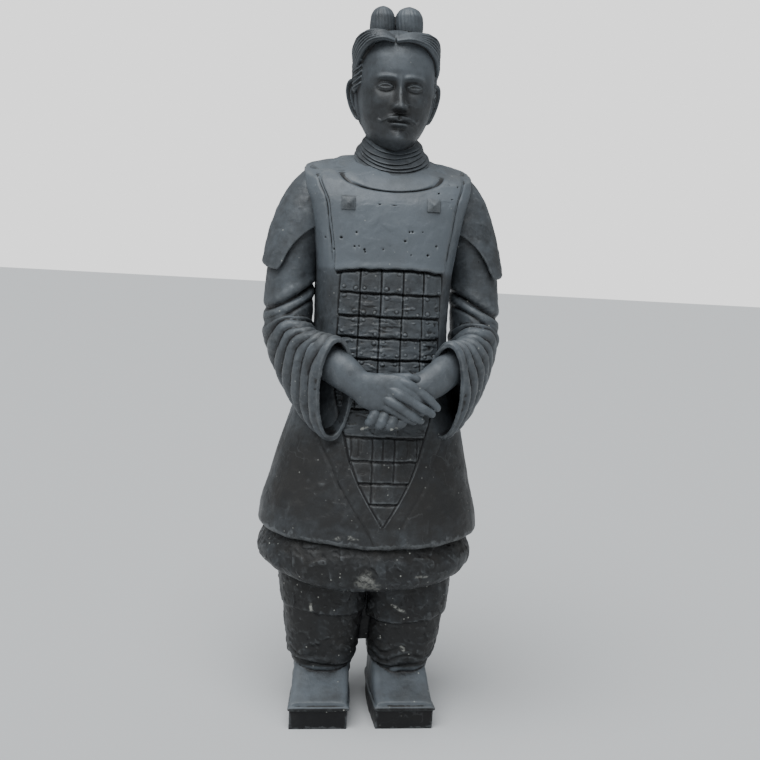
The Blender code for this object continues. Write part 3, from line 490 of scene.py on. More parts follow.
def thinned(body):
    """Leaves the triangles where the form turns and takes them away where it is flat."""
    most_triangles = MOST_TRIANGLES[body.name]
    body.data.calc_loop_triangles()
    count = len(body.data.loop_triangles)
    if count <= most_triangles:
        return
    decimate = body.modifiers.new("thin", "DECIMATE")
    decimate.ratio = most_triangles / count
    bpy.context.view_layer.objects.active = body
    bpy.ops.object.modifier_apply(modifier="thin")


def stood_flat(body):
    """Slices the clay off level under the shoes, so that the figure stands on its soles."""
    mesh = bmesh.new()
    mesh.from_mesh(body.data)
    whole = mesh.verts[:] + mesh.edges[:] + mesh.faces[:]
    bmesh.ops.bisect_plane(mesh, geom=whole, plane_co=(0, 0, 0), plane_no=(0, 0, 1), clear_inner=True)
    bmesh.ops.edgeloop_fill(mesh, edges=[edge for edge in mesh.edges if edge.is_boundary])
    mesh.to_mesh(body.data)
    mesh.free()


# How far round each point the clay's relief is judged, in rounds of smoothing
RELIEFS = (("fine_relief", 5), ("broad_relief", 70))


def relief_marked(body):
    """Notes on each point how far it stands proud of the clay round it, and how far it faces up."""
    mesh = body.data
    places, normals = places_of(mesh), normals_at(mesh)
    count = len(places)
    edges = np.empty(len(mesh.edges) * 2, int)
    mesh.edges.foreach_get("vertices", edges)
    start, end = edges.reshape(-1, 2).T
    neighbours = np.bincount(edges, minlength=count)
    smooth = places.copy()
    done = 0
    for name, rounds in RELIEFS:
        for _ in range(rounds - done):
            total = np.empty_like(smooth)
            for k in range(3):
                total[:, k] = np.bincount(start, smooth[end, k], count)
                total[:, k] += np.bincount(end, smooth[start, k], count)
            smooth = total / neighbours[:, None]
        done = rounds
        proud = ((places - smooth) * normals).sum(axis=1) / MODULE
        noted(mesh, name, proud)
    noted(mesh, "facing_up", normals[:, 2])


def noted(mesh, name, values):
    """Writes a value on each point, for the clay's finish to read."""
    attribute = mesh.attributes.new(name, "FLOAT", "POINT")
    attribute.data.foreach_set("value", np.asarray(values, np.float32))


def finished(body, smoke_and_shade_on):
    """Thins the body, marks it for its finish, and hands it to the frame in place of the cast."""
    thinned(body)
    relief_marked(body)
    points = in_modules(body)
    noted(body.data, "pale", pale_marks(points))
    # The share noted here holds the firing's darkening together with painted shade, a painted sheen and a
    # painted highlight
    noted(body.data, "smoke_and_shade", smoke_and_shade_on(points))
    body.data.materials.clear()
    body.data.materials.append(fired_clay(body.name, bpy.context.scene.warrior_finish))
    body.data.shade_smooth()
    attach(body, "root")
    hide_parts(CAST_NODE)


# Straws, splashes and chips that show pale on the clay: (start, end, width, strength)
PALE_MARKS = [
    ((-15.1, -11.1, 30.6), (-14.85, -11.15, 29.0), 0.45, 0.8),
    ((-5.0, -10.0, 35.0), (-4.6, -9.8, 34.2), 0.45, 0.9),
    ((-4.6, -9.8, 34.2), (-2.8, -8.3, 32.6), 0.4, 0.9),
    ((5.6, -10.7, 30.6), (8.8, -11.4, 28.8), 0.45, 0.9),
    ((8.9, -9.6, 19.0), (9.5, -9.4, 18.2), 0.5, 0.7),
    ((-5.4, -17.3, 76.3), (-4.0, -17.3, 77.0), 0.4, 0.9),
    ((-1.5, -25.2, 77.3), (-1.3, -25.2, 77.2), 0.4, 0.8),
    ((0.7, -25.4, 77.7), (0.9, -25.4, 77.6), 0.5, 0.8),
    ((1.7, -25.2, 77.9), (2.0, -25.2, 77.9), 0.4, 0.8),
    ((9.7, -20.25, 40.6), (12.7, -19.4, 40.5), 0.4, 0.4),
    ((-7.45, -21.0, 50.6), (-5.5, -21.3, 50.0), 0.35, 0.5),
    ((-10.6, -20.45, 50.0), (-9.6, -20.6, 50.4), 0.35, 0.4),
    ((-2.65, -21.2, 42.0), (-1.8, -21.2, 41.6), 0.7, 0.3),
    ((-4.6, -20.6, 38.8), (0.2, -20.4, 38.0), 1.3, 0.28),
    ((-3.4, -20.9, 40.2), (-1.8, -20.9, 39.4), 1.5, 0.4),
]


# A pale mark reaches further in depth than across or up
PALE_REACH = (1.0, 0.35, 1.0)


def pale_marks(points):
    """How pale each point is."""
    pale = np.zeros(len(points))
    for start, end, width, strength in PALE_MARKS:
        a, b = np.array(start, float), np.array(end, float)
        way = b - a
        t = np.clip((points - a) @ way / (way @ way), 0.0, 1.0)
        far = np.linalg.norm((points - a - t[:, None] * way) * PALE_REACH, axis=1)
        pale = np.maximum(pale, strength * rise(-far, -width, -0.4 * width))
    return pale


# The darkening changes at the first height, the foot of the chest plate, and thickens again on the skirts,
# from the second height down to the third:
# partly the firing's own, partly shade painted darker lower down, where the light from overhead falls off
SMOKE_AND_SHEEN_EDGE = 114.6
SMOKE_AND_SHADE_TOP = 89.0
SMOKE_AND_SHADE_FOOT = 66.0
SMOKE_AND_SHADE_LOW = 0.97
# How dark each piece is made above and below the foot of the chest plate, from 0 to 1, partly by firing and
# partly as painted shade
SMOKE_AND_SHADE = {
    # The coat's 0 above the chest plate's foot leaves a painted sheen on the chest
    "armour_and_coat": (0.0, 0.58),
    "sleeves": (0.66, 0.60),
    "hands": (0.40, 0.40),
    "neck_cloth": (0.63, 0.63),
}
# How much darker the two pyramids are made
BOSS_DARKENING = 0.5
# A painted highlight over the top of the shoulders, where the light from overhead falls
SHOULDER_HIGHLIGHT = 0.9
SHOULDER_TOP = (137.0, 139.0)
FOREHEAD = (156.0, 163.0)
# Painted shade on the trousers under the robe, painted light on the shoes' tops, and the black soles painted
# into deeper shade
LEG_SHADE = 0.99
LIT_SHOE_TOP_DARKNESS = 0.34
SOLE_BLACK_AND_SHADE = 1.55
HEAD_SMOKE = 0.5
# Painted shade over the face below the brow
FACE_SHADE = 0.34


def smoke_and_shade_of(piece):
    """Darkening by height alone: the firing's, with painted shade lower down."""
    above, below = SMOKE_AND_SHADE[piece]

    def smoke_and_shade_on(points):
        z = points[:, 2]
        upper = below + (above - below) * rise(z, SMOKE_AND_SHEEN_EDGE - 1.0, SMOKE_AND_SHEEN_EDGE + 1.0)
        return np.maximum(upper, SMOKE_AND_SHADE_LOW * rise(-z, -SMOKE_AND_SHADE_TOP, -SMOKE_AND_SHADE_FOOT))

    return smoke_and_shade_on


# Armour and coat: sections of (height, half width, front, back, squareness)
COAT = [
    (COAT_HEM, 28.2, 21.8, 20.6, 2.3),
    (50.0, 27.8, 21.4, 20.2, 2.3),
    (60.0, 25.5, 19.7, 18.4, 2.3),
    (70.0, 23.0, 18.0, 16.4, 2.3),
    (80.0, 20.0, 16.9, 14.5, 2.3),
    (90.0, 17.4, 16.2, 13.5, 2.4),
    (100.0, 16.8, 15.8, 13.4, 2.6),
    (111.0, 17.1, 15.5, 14.0, 2.9),
    (120.0, 18.2, 15.0, 14.4, 3.1),
    (127.0, 19.6, 14.0, 14.2, 3.2),
    (133.0, 20.9, 12.5, 13.0, 3.0),
    (136.2, 21.0, 11.2, 11.8, 2.7),
    (137.3, 18.5, 10.2, 11.0, 2.4),
    (138.3, 11.4, 8.8, 9.8, 2.3),
    (139.3, 8.0, 6.8, 7.8, 2.2),
    (COLLAR_TOP, 5.0, 4.0, 5.0, 2.0),
]
CHEST_PLATE_EDGE = [(109, 12.9), (116, 13.4), (121.4, 14.2), (129.4, 15.4), (137, 17.4)]
SCALE_ROWS = [112.0, 106.1, 100.5, 95.3, 90.1, 84.8, 78.2, 71.5, 65.9, 60.8, 56.0, 50.3]
SCALE_COLUMNS = (2.65, 7.7, 12.5)
# Half width of the scale apron at each height, and how far each side of the seam band lies out
APRON_EDGE = [(50.3, 0.0), (56.2, 3.7), (61.0, 6.35), (65.6, 8.2), (71.5, 9.9), (78, 11.7), (82, 12.5)]
BAND_EDGES = [(45, 0.7, 3.9), (51.0, 4.2, 5.5), (57.6, 8.6, 9.6), (66.0, 13.0, 13.4), (76, 17.6, 17.6)]
APRON_ROWS_FROM = 6
APRON_SOFTNESS = 0.42
# Lines scored down the apron: (x, top, foot, depth)
SCORES = [
    (-10.1, 71.2, 67.0, 0.5),
    (-9.4, 71.3, 66.2, 0.3),
    (-8.1, 71.3, 66.1, 0.6),
    (-6.3, 70.9, 66.8, 0.4),
    (-5.7, 70.6, 67.9, 0.3),
    (-3.0, 71.3, 56.2, 0.7),
    (-0.5, 71.0, 66.3, 0.5),
    (-0.4, 65.5, 62.8, 0.3),
    (2.35, 71.2, 61.1, 0.6),
    (5.5, 70.9, 67.1, 0.3),
    (8.0, 71.3, 66.1, 0.6),
    (8.8, 71.3, 66.7, 0.4),
]
# Pinholes that air left in the chest plate: (x, z, radius)
PINHOLES = [
    (-8.7, 120.5, 0.30),
    (-12.1, 119.1, 0.42),
    (-9.0, 117.1, 0.28),
    (-8.0, 117.2, 0.24),
    (-6.7, 116.4, 0.34),
    (-6.5, 115.9, 0.24),
    (-2.2, 116.7, 0.20),
    (-0.9, 117.6, 0.22),
    (3.9, 121.2, 0.30),
    (4.6, 121.3, 0.32),
    (2.9, 119.0, 0.42),
    (7.1, 121.4, 0.20),
    (4.5, 115.7, 0.22),
    (8.6, 115.9, 0.42),
    (10.6, 118.2, 0.36),
    (-15.8, 119.0, 0.26),
    (-13.8, 116.2, 0.34),
    (-3.5, 127.9, 0.30),
    (-0.1, 127.8, 0.24),
    (10.9, 137.3, 0.36),
    (13.8, 136.4, 0.24),
    (11.0, 134.0, 0.38),
    (14.2, 131.2, 0.30),
    (15.9, 135.7, 0.26),
]


def read_off(stations, z):
    """The values of a curve through stations of (height, values ...) at every height of an array."""
    return np.moveaxis(through(stations, z.ravel()).reshape(*z.shape, -1), -1, 0)


def rivets(x, z, top, foot, radius, draw):
    """Domed rivets beside the lines of one row of scales, some of them worn away."""
    height = np.zeros_like(x)
    beside = [s * (c + d) for c in SCALE_COLUMNS for d in (-RIVET_BESIDE, RIVET_BESIDE) for s in (-1, 1)]
    for level, strong in ((foot + 1.1, 1.0), (top - 1.0, 0.75)):
        for place in beside:
            if abs(place) > SCALE_COLUMNS[-1]:
                continue
            left, lift = draw.uniform(-0.1, 1.0) * strong, draw.normal(0, 0.16, 2)
            size = radius * draw.uniform(0.75, 1.15)
            if left < 0.15:
                continue
            far = np.hypot(x - place - lift[0], z - level - lift[1]) / size
            height += left * size * 0.9 * np.sqrt(np.clip(1 - far**2, 0.0, 1.0))
            height -= left * size * 0.3 * line(far - 1.25, 0.25)
    return height


def scales(points, sizes):
    """Overlapping scales: each leans out to its foot and hides the top of the row below."""
    x, z = points[..., 0], points[..., 2]
    draw = np.random.default_rng(RIVET_SEED)
    groove, lift = sizes.groove / MODULE, sizes.scale_raise / MODULE
    height = np.zeros_like(x)
    waver = 0.10 * np.sin(0.55 * x + 1.3) + 0.06 * np.sin(1.7 * x)
    for number, (top, foot) in enumerate(zip(SCALE_ROWS[:-1], SCALE_ROWS[1:])):
        shift = waver * (-1) ** number
        up = z + shift
        in_row = (up <= top) & (up > foot)
        lean = np.clip((top - up) / (top - foot), 0.0, 1.0)
        rounded = 1 - 0.45 * rise(-(up - foot), -0.35, 0.0) ** 2
        cell = np.round(x / (2 * SCALE_COLUMNS[0]))
        tipped = 0.10 * np.sin(4.1 * cell + 2.3 * number)
        height = np.where(in_row, (lift * (0.12 + 0.88 * lean) + tipped * lean) * rounded, height)
        height -= groove * line(up - top + 0.12, 0.30)
        if number < APRON_ROWS_FROM:
            height += rivets(x, up, top, foot, sizes.rivet / MODULE, draw)
            step = 0.07 * np.sin(2.7 * number + 1.0)
            for column in SCALE_COLUMNS[:2]:
                height -= 0.9 * groove * line(np.abs(x + step) - column, 0.17) * in_row
    for place, top, foot, deep in SCORES:
        scored = rise(z, foot - 0.2, foot + 0.2) * rise(-z, -top - 0.2, -top + 0.2)
        height -= deep * 0.8 * line(x - place - 0.06 * np.sin(1.3 * z), 0.17) * scored
    dented = uneven(points * np.array([0.28, 1.0, 1.0]), 1.1, 7)
    height += 0.13 * np.maximum(dented, -0.4) * rise(z, 71.0, 72.0) * rise(-z, -111, -100)
    return height


def coat_relief(grid, sizes):
    """What is carved on the armour and the coat's skirts, as a height along the surface."""
    x, y, z = grid[..., 0], grid[..., 1], grid[..., 2]
    groove = sizes.groove / MODULE
    front = rise(-y, 3.0, 6.0)
    across, over = np.abs(x), x - ARMOUR_MIDDLE
    foot = CHEST_PLATE_FOOT + 0.18 * np.sin(0.33 * x + 0.6) + 0.08 * np.sin(1.6 * x)
    foot = foot - 1.1 * rise(-x, 7, 14) - 0.3 * rise(x, 8, 14)
    edge = read_off(APRON_EDGE, z)[0]
    from_edge = np.abs(over) - edge
    over_tip = rise(z, APRON_EDGE[0][0] - 0.3, APRON_EDGE[0][0] + 0.3)
    in_apron = rise(-from_edge, -0.1, 0.2) * rise(foot - z, -0.1, 0.1) * over_tip
    relief = in_apron * scales(np.stack([over, y, z], axis=-1), sizes)
    relief *= 1 - APRON_SOFTNESS * rise(-z, -76.0, -70.0)
    relief -= 0.55 * groove * line(from_edge, 0.3) * (z < foot) * over_tip
    relief += 0.3 * line(from_edge - 0.25, 0.28) * rise(66 - z, 0, 3) * over_tip
    plate_edge = read_off(CHEST_PLATE_EDGE, z)[0]
    in_plate = rise(plate_edge - across, -0.12, 0.12) * rise(z - foot, -0.1, 0.12)
    lip = 0.2 * line(z - foot - 0.5, 0.9)
    relief += in_plate * (sizes.plate_raise / MODULE + lip)
    relief -= 1.1 * groove * line(z - foot + 0.35, 0.4) * (across < plate_edge)
    for apart, deep in ((0.0, 0.35), (0.9, 0.8)):
        worn_line = 0.75 + 0.25 * np.sin(0.9 * z + 2.0 * apart + np.sign(x))
        relief -= deep * groove * worn_line * line(across - plate_edge - apart, 0.22) * rise(z, 112, 116)
    left, right = read_off(BAND_EDGES, z)
    band = np.where(x < 0, -x - left, x - right) + 0.1 * np.sin(0.8 * z)
    relief -= np.where(x < 0, 0.32, 0.2) * groove * line(band, 0.5) * rise(74 - z, 0, 6)
    for place, level, radius in PINHOLES:
        far = np.hypot(x - place, z - level)
        relief -= 0.6 * rise(-far, -radius, -0.3 * radius)
    relief *= front
    oval_far = np.hypot(x / COLLAR_OVAL[0], (z - COLLAR_CENTRE) / COLLAR_OVAL[1])
    from_collar = (oval_far - 1) * COLLAR_OVAL[1]
    in_collar = rise(-from_collar, -0.12, 0.12)
    relief = relief * (1 - in_collar) + 0.55 * in_collar
    relief -= 1.3 * groove * line(from_collar - 0.2, 0.3) * (1 - 0.75 * rise(across, 11.5, 13.5))
    relief += sizes.unevenness / MODULE * uneven(grid, 7.0, 3)
    relief += 0.5 * sizes.unevenness / MODULE * uneven(grid, 2.4, 5)
    return relief


# The coat's rings in three stretches of height: (from, up to, how far apart), and its columns
COAT_RINGS = ((COAT_HEM, 50.0, 0.24), (50.0, 112.4, 0.16), (112.4, COLLAR_TOP, 0.2))
COAT_COLUMNS = 340
COAT_FINER_IN_FRONT = 0.6


def coat(sizes):
    """The armour and the coat's skirts, their top leaning forward as the shoulders do."""
    levels = np.concatenate([np.arange(*stretch) for stretch in COAT_RINGS])
    grid = turned(COAT, levels, closer_in_front(COAT_COLUMNS, COAT_FINER_IN_FRONT))
    height = coat_relief(grid, sizes)
    above_hem = grid[..., 2] - COAT_HEM
    height -= 0.8 * (1 - np.sqrt(np.clip(above_hem / 0.9, 0.0, 1.0)))
    grid = raised(grid, height)
    around = np.arctan2(grid[..., 1], grid[..., 0])
    sway = 0.25 * np.sin(3 * around + 0.5) + 0.12 * np.sin(8 * around) + 0.08 * np.sin(23 * around)
    side = np.abs(np.cos(around)) ** 1.5
    sway += HEM_RISE * side
    grid[..., 0] += SKIRT_SHIFT * side * rise(85 - grid[..., 2], 0, 30)
    grid[..., 2] += sway * rise(-above_hem, -12.0, 0.0)
    grid[..., 2] += NECK_LEAN * grid[..., 1] * rise(grid[..., 2], 126.0, 138.0)
    return form("armour_and_coat", grid)


def smoke_shade_and_sheen_on_coat(points):
    """Darkened by height, partly by firing and partly as painted shade, darker on the two pyramids, with a
    painted highlight over the top of the shoulders and a painted sheen on the chest.
    """
    x, z = points[:, 0], points[:, 2]
    smoke_and_shade = smoke_and_shade_of("armour_and_coat")(points) - SHOULDER_HIGHLIGHT * rise(z, *SHOULDER_TOP)
    for place in BOSSES:
        far = np.maximum(np.abs(x - place[0]), np.abs(z - place[1] - BOSS_LIFT))
        smoke_and_shade = smoke_and_shade + BOSS_DARKENING * rise(-far, -BOSS_HALF - 0.5, -BOSS_HALF)
    return smoke_and_shade


def boss(name, place, tip, grain):
    """A pyramid on a thin square foot, which follows the round of the chest."""
    size = np.concatenate([[1.0, 1.0], np.arange(0.94, 0.0, -grain / BOSS_HALF)])[:, None]
    high = BOSS_FOOT + (tip - BOSS_FOOT) * np.clip(0.94 - size, 0.0, 1.0) / 0.94
    high[0] = BOSS_ROOT
    angle = round_turn(8 * round(BOSS_HALF / grain))[None, :]
    square = BOSS_HALF * size / np.maximum(np.abs(np.cos(angle)), np.abs(np.sin(angle)))
    x, z = place[0] + square * np.cos(angle), place[1] + square * np.sin(angle)
    half_width, front, _, squareness = read_off(COAT, z)
    y = -front * (1 - np.abs(x / half_width) ** squareness) ** (1 / squareness) - high
    return form(name, np.stack([x, y, z], axis=-1))


UNDER_ROBE = [
    (34.4, 21.8, 18.8, 17.6, 2.3),
    (35.2, 23.8, 19.9, 18.8, 2.3),
    (37.0, 26.0, 20.8, 19.8, 2.3),
    (39.0, 27.3, 21.2, 20.3, 2.3),
    (41.4, 27.6, 21.3, 20.4, 2.3),
    (43.8, 26.8, 20.5, 19.6, 2.3),
    (48.0, 24.5, 18.5, 17.5, 2.3),
]
ROBE_RISE = 1.4


def under_robe(grain):
    """The robe whose hem swells out under the coat."""
    levels = np.arange(UNDER_ROBE[0][0], UNDER_ROBE[-1][0], grain)
    grid = turned(UNDER_ROBE, levels, round_turn(GIRTHS["robe"] / grain))
    around = np.arctan2(grid[..., 1], grid[..., 0])
    drop = 0.25 * np.sin(4 * around + 1.0) + ROBE_RISE * np.abs(np.cos(around)) ** 1.5
    grid[..., 0] += ROBE_SHIFT
    grid[..., 2] += drop * rise(41 - grid[..., 2], 0, 6)
    return form("under_robe", grid)


# A trouser leg: (height, centre x, half width, front, back)
LEG = [
    (7.0, 9.9, 6.3, 6.4, 7.0),
    (10.0, 10.0, 7.2, 7.3, 7.6),
    (12.0, 10.2, 7.7, 8.0, 8.0),
    (16.0, 10.4, 8.6, 8.8, 8.6),
    (21.0, 10.5, 9.9, 10.0, 9.4),
    (27.0, 10.6, 10.8, 11.2, 10.2),
    (34.0, 10.9, 11.5, 12.6, 11.4),
    (40.0, 11.0, 11.6, 12.8, 11.6),
]
# The trousers hang in two tiers: the height of the lower hem, and of the fold over each leg
TROUSER_HEM = 12.8
TROUSER_FOLD = 25.1
# How strongly that fold stands out on the right leg and on the left
FOLD_STRENGTHS = (0.55, 1.0)


def leg(name, side, grain):
    """One trouser leg in two tiers, the upper hanging in a fold over the lower."""
    levels = np.arange(LEG[0][0], LEG[-1][0], grain)
    centre, half_width, front, back = through(LEG, levels).T[..., None]
    angle = round_turn(GIRTHS["leg"] / grain)[None, :]
    x, y = oval(angle, half_width, front, back, LEG_SQUARENESS)
    z = np.broadcast_to(levels[:, None], x.shape)
    sag = z - 0.6 * side * np.cos(angle) + 0.3 * np.sin(3 * angle + side)
    tier = (sag - TROUSER_HEM) / (TROUSER_FOLD - 0.9 * side - TROUSER_HEM)
    strength = np.where(tier > 1, FOLD_STRENGTHS[side > 0], 1.0)
    fold = strength * (0.85 * lapped(tier, 0.07) - 0.4)
    crumple = np.abs(np.sin((sag - TROUSER_HEM + 0.8 * np.sin(5 * angle)) * math.pi / 2.3)) ** 0.7
    fold += 0.42 * crumple * rise(21 - z, 0, 6) * (0.6 + 0.4 * np.sin(2 * angle - side))
    grid = np.stack([x + side * centre + LEG_SHIFT, y, z], axis=-1)
    return form(name, raised(grid, fold))


CROTCH = [(17.6, 3.4, 3.4, 3.4, 3.0), (20.6, 4.4, 4.6, 4.6, 3.0), (40.0, 6.0, 7.0, 7.0, 3.0)]


def crotch(grain):
    """The cloth between the legs, which closes the gap above the shoes."""
    levels = np.arange(CROTCH[0][0], CROTCH[-1][0], grain)
    grid = turned(CROTCH, levels, round_turn(GIRTHS["crotch"] / grain))
    return form("crotch", grid + np.array([LEG_SHIFT, 0.5, 0.0]))


# Shoes: (y, half width, top), from the heel forward to the square toe
SHOE = [
    (-15.8, 7.3, 6.6),
    (-13.5, 7.3, 7.4),
    (-10.0, 7.3, 9.2),
    (-6.5, 7.3, 11.6),
    (-3.0, 7.2, 13.0),
    (5.0, 6.8, 13.0),
    (9.0, 6.4, 11.0),
    (11.6, 5.6, 7.4),
]


def block(name, stations, low, tops, ankle, toe):
    """A squared block through sections across Y, from low up to each section's top."""
    y, half_width = stations[:, 0], stations[:, 1]
    angle = round_turn(SHOE_COLUMNS)[None, :]
    middle, half_height = (tops + low) / 2, (tops - low) / 2
    x, z = oval(angle, half_width[:, None], half_height[:, None], half_height[:, None], SHOE_SQUARENESS)
    lean = (toe - ankle) * np.clip(-y / TOE_REACH, 0.0, 1.0)
    depth = np.broadcast_to(y[:, None], x.shape)
    grid = np.stack([x + (ankle + lean)[:, None], depth, z + middle[:, None]], axis=-1)
    return form(name, np.flip(grid, axis=0))


def shoe(name, ankle, toe, grain):
    """A square-toed shoe on a thick sole, with a thin welt that stands out between them."""
    y = np.arange(SHOE[0][0], SHOE[-1][0] + grain / 2, grain)
    half_width, top = through(SHOE, y).T
    upper = np.column_stack([y, half_width])
    made = [block(name + "_upper", upper, BELOW_GROUND, top, ankle, toe)]
    level = np.full(len(y), SOLE_HEIGHT)
    made.append(block(name + "_sole", upper, BELOW_GROUND, level - WELT_HEIGHT / 2, ankle, toe))
    welt = np.column_stack([y, half_width + WELT_STAND_OUT])
    welt[0, 0] -= WELT_STAND_OUT
    welt[-1, 0] += WELT_STAND_OUT
    made.append(block(name + "_welt", welt, SOLE_HEIGHT - WELT_HEIGHT, level, ankle, toe))
    return made


def lumps_of_legs(z):
    """The shoes are nearly smooth and the trousers over them lumpy."""
    return SHOE_LUMPS + CLOTH_LUMPS * rise(z, SHOE_TOP - 0.5, SHOE_TOP + 4.0)


def shade_and_black_soles_on_legs(points):
    """The shoes' tops are painted a lighter blue grey as though lit from above, their soles black and
    painted into deeper shade, and the cloth painted dark all over as shade under the robe.
    """
    z = points[:, 2]
    shoes = rise(-z, -SHOE_TOP - 0.4, -SHOE_TOP + 0.4)
    soles = rise(-z, -SOLE_HEIGHT - 0.25, -SOLE_HEIGHT + 0.1)
    return LEG_SHADE + (LIT_SHOE_TOP_DARKNESS - LEG_SHADE) * shoes + (SOLE_BLACK_AND_SHADE - LIT_SHOE_TOP_DARKNESS) * soles


# Sleeves: the way down the upper arm, mirrored for each side, then each forearm's own way
UPPER_ARM = [
    (14.5, 1.5, 134.5),
    (18.9, 2.0, 128.0),
    (21.7, 2.0, 118.0),
    (23.2, 1.6, 107.0),
    (23.4, 0.6, 97.0),
]
RIGHT_FOREARM = [(-20.4, -4.8, 88.7), (-16.2, -13.0, 84.4), (-12.5, -20.8, 83.0)]
LEFT_FOREARM = [(22.2, -5.5, 88.5), (18.4, -12.6, 84.6), (14.2, -18.0, 83.0)]
SLEEVE_WIDTHS = [
    (0.0, 5.6, 6.6),
    (0.15, 6.1, 7.4),
    (0.3, 6.2, 7.8),
    (0.45, 6.2, 8.2),
    (0.58, 6.1, 9.0),
    (0.72, 5.8, 10.3),
    (0.86, 5.5, 11.6),
    (1.0, 5.1, 12.5),
]
# The short sleeve's slanting hem: turn round the arm from its outer side to the front, and reach
SHORT_SLEEVE_HEM = [
    (-180, 0.20),
    (-90, 0.32),
    (0, 0.368),
    (35, 0.385),
    (58, 0.388),
    (67, 0.366),
    (76, 0.318),
    (92, 0.266),
    (117, 0.224),
    (180, 0.20),
]


def sleeve_path(side):
    """The centre line of one sleeve, side being -1 for the figure's right and 1 for its left."""
    out = LEFT_ARM_OUT if side > 0 else 0.0
    upper = [(side * (x + out * float(rise(128 - z, 0, 30))), y, z) for x, y, z in UPPER_ARM]
    return upper + (RIGHT_FOREARM if side < 0 else LEFT_FOREARM)


def folded(shares, angle, height, side):
    """Soft ring folds pushed together down the forearm, and one deep crease over the elbow."""
    place = (shares - FOLDS_FROM) / (1 - FOLDS_FROM)
    place = place + 0.03 * np.sin(2 * angle + 9 * shares) + 0.014 * np.sin(5 * angle + 14 * shares + side)
    ridges = np.abs(np.sin(math.pi * FOLDS * place)) ** 0.55
    fade = rise(place, -0.03, 0.06) * (1 - 0.75 * rise(place, 0.93, 1.0))
    strength = 0.85 + 0.15 * np.sin(3 * angle + 7 * place + side)
    crease = shares - ELBOW_CREASE - 0.05 * np.cos(angle) - 0.02 * np.sin(angle)
    second = crease - 0.055 - 0.01 * np.sin(2 * angle)
    facing = 0.5 + 0.5 * np.sin(angle)
    depth = 1.2 * line(crease, 0.010) + 0.6 * line(second, 0.009)
    swell = 0.4 * line(crease + 0.03, 0.02) + 0.3 * line(crease - 0.028, 0.018)
    return height * fade * strength * (ridges - 0.6) + facing * (swell - depth)


def sleeve(name, side, grain, fold):
    """A long sleeve that ends in a wide open cuff, hollow for a hand's depth."""
    out = np.arange(0.0, 1.0, grain / SLEEVE_LENGTH)
    rim = np.array([1.0, 1.006, 1.006, 1.0])
    back = np.arange(1.0, 1.0 - CUFF_DEPTH, -1.6 * grain / SLEEVE_LENGTH)[1:]
    inset = np.concatenate([0 * out, [0.0, 0.3, 0.7, CUFF_WALL], 0 * back + CUFF_WALL])
    shares = np.concatenate([out, rim, back])
    path = sleeve_path(side)
    columns = GIRTHS["sleeve"] / grain
    grid, t, angle = swept(path, SLEEVE_WIDTHS, shares, columns, (side, 0.0, 0.0), inset)
    outside = (np.arange(len(shares)) < len(out) + 2)[:, None]
    return form(name, raised(grid, folded(t, side * angle, fold, side) * outside))


def short_sleeve(name, side, grain):
    """The jacket's flared short sleeve, whose hem slants and stands clear of the arm."""
    out = np.arange(0.0, 1.0, grain / SHORT_SLEEVE_LENGTH)
    back = np.arange(1.0, 1.0 - SHORT_SLEEVE_DEPTH, -grain / SHORT_SLEEVE_LENGTH)[1:]
    shares = np.concatenate([out, [1.0, 1.012, 1.012, 1.0], back])
    wall = SHORT_SLEEVE_WALL
    inset = np.concatenate([0 * out, [0.0, 0.3 * wall, 0.7 * wall, wall], 0 * back + wall])
    widths = []
    for share, wide, deep in SLEEVE_WIDTHS:
        stand = SHORT_SLEEVE_STAND * float(rise(share, 0.0, 0.3))
        widths.append((share, wide + stand, deep + stand))

    def hem(angle):
        around = np.degrees(side * angle + math.pi) % 360 - 180
        return through(SHORT_SLEEVE_HEM, around)[:, 0]

    path = sleeve_path(side)
    columns = GIRTHS["short_sleeve"] / grain
    grid, _, _ = swept(path, widths, shares, columns, (side, 0.0, 0.0), inset, hem)
    return form(name, grid)


# Forearms and hands: the figure's right hand lies over its left
RIGHT_ARM = [(-17.0, -14.5, 90.6), (-12.9, -18.8, 88.6), (-9.7, -21.0, 86.4), (-6.6, -22.6, 84.3)]
RIGHT_PALM = [(-2.8, -23.4, 83.1), (1.9, -24.0, 83.3)]
RIGHT_HAND_WIDTHS = [
    (0.0, 4.7, 4.0),
    (0.2, 4.5, 3.8),
    (0.4, 4.1, 3.3),
    (0.56, 3.6, 2.6),
    (0.68, 4.2, 2.3),
    (0.8, 4.6, 2.1),
    (0.93, 4.3, 1.8),
    (1.0, 3.8, 1.3),
]
LEFT_ARM = [(17.5, -13.5, 90.4), (15.0, -17.3, 88.6), (11.5, -20.2, 86.2), (8.0, -21.6, 84.2)]
LEFT_PALM = [(4.0, -21.8, 81.8), (0.5, -21.6, 79.6)]
LEFT_HAND_WIDTHS = [(0.0, 4.6, 3.8), (0.3, 4.3, 3.5), (0.6, 3.8, 3.1), (0.8, 4.2, 2.8), (1.0, 3.8, 2.4)]
RIGHT_FINGERS = [
    [(0.2, -24.2, 86.6), (4.5, -25.5, 85.2), (8.6, -25.4, 82.5), (11.0, -24.7, 80.5), (12.0, -24.2, 79.4)],
    [(-1.2, -24.5, 84.5), (2.9, -26.2, 82.6), (7.2, -26.2, 80.2), (9.6, -25.4, 79.0), (10.9, -24.8, 78.2)],
    [(-2.2, -24.3, 82.3), (1.6, -25.9, 80.5), (4.9, -26.0, 78.4), (7.0, -25.3, 77.3), (8.4, -24.7, 76.7)],
    [(-2.4, -23.8, 80.6), (0.8, -24.8, 79.3), (3.8, -25.0, 77.7), (5.6, -24.5, 76.9), (6.9, -23.9, 76.4)],
]
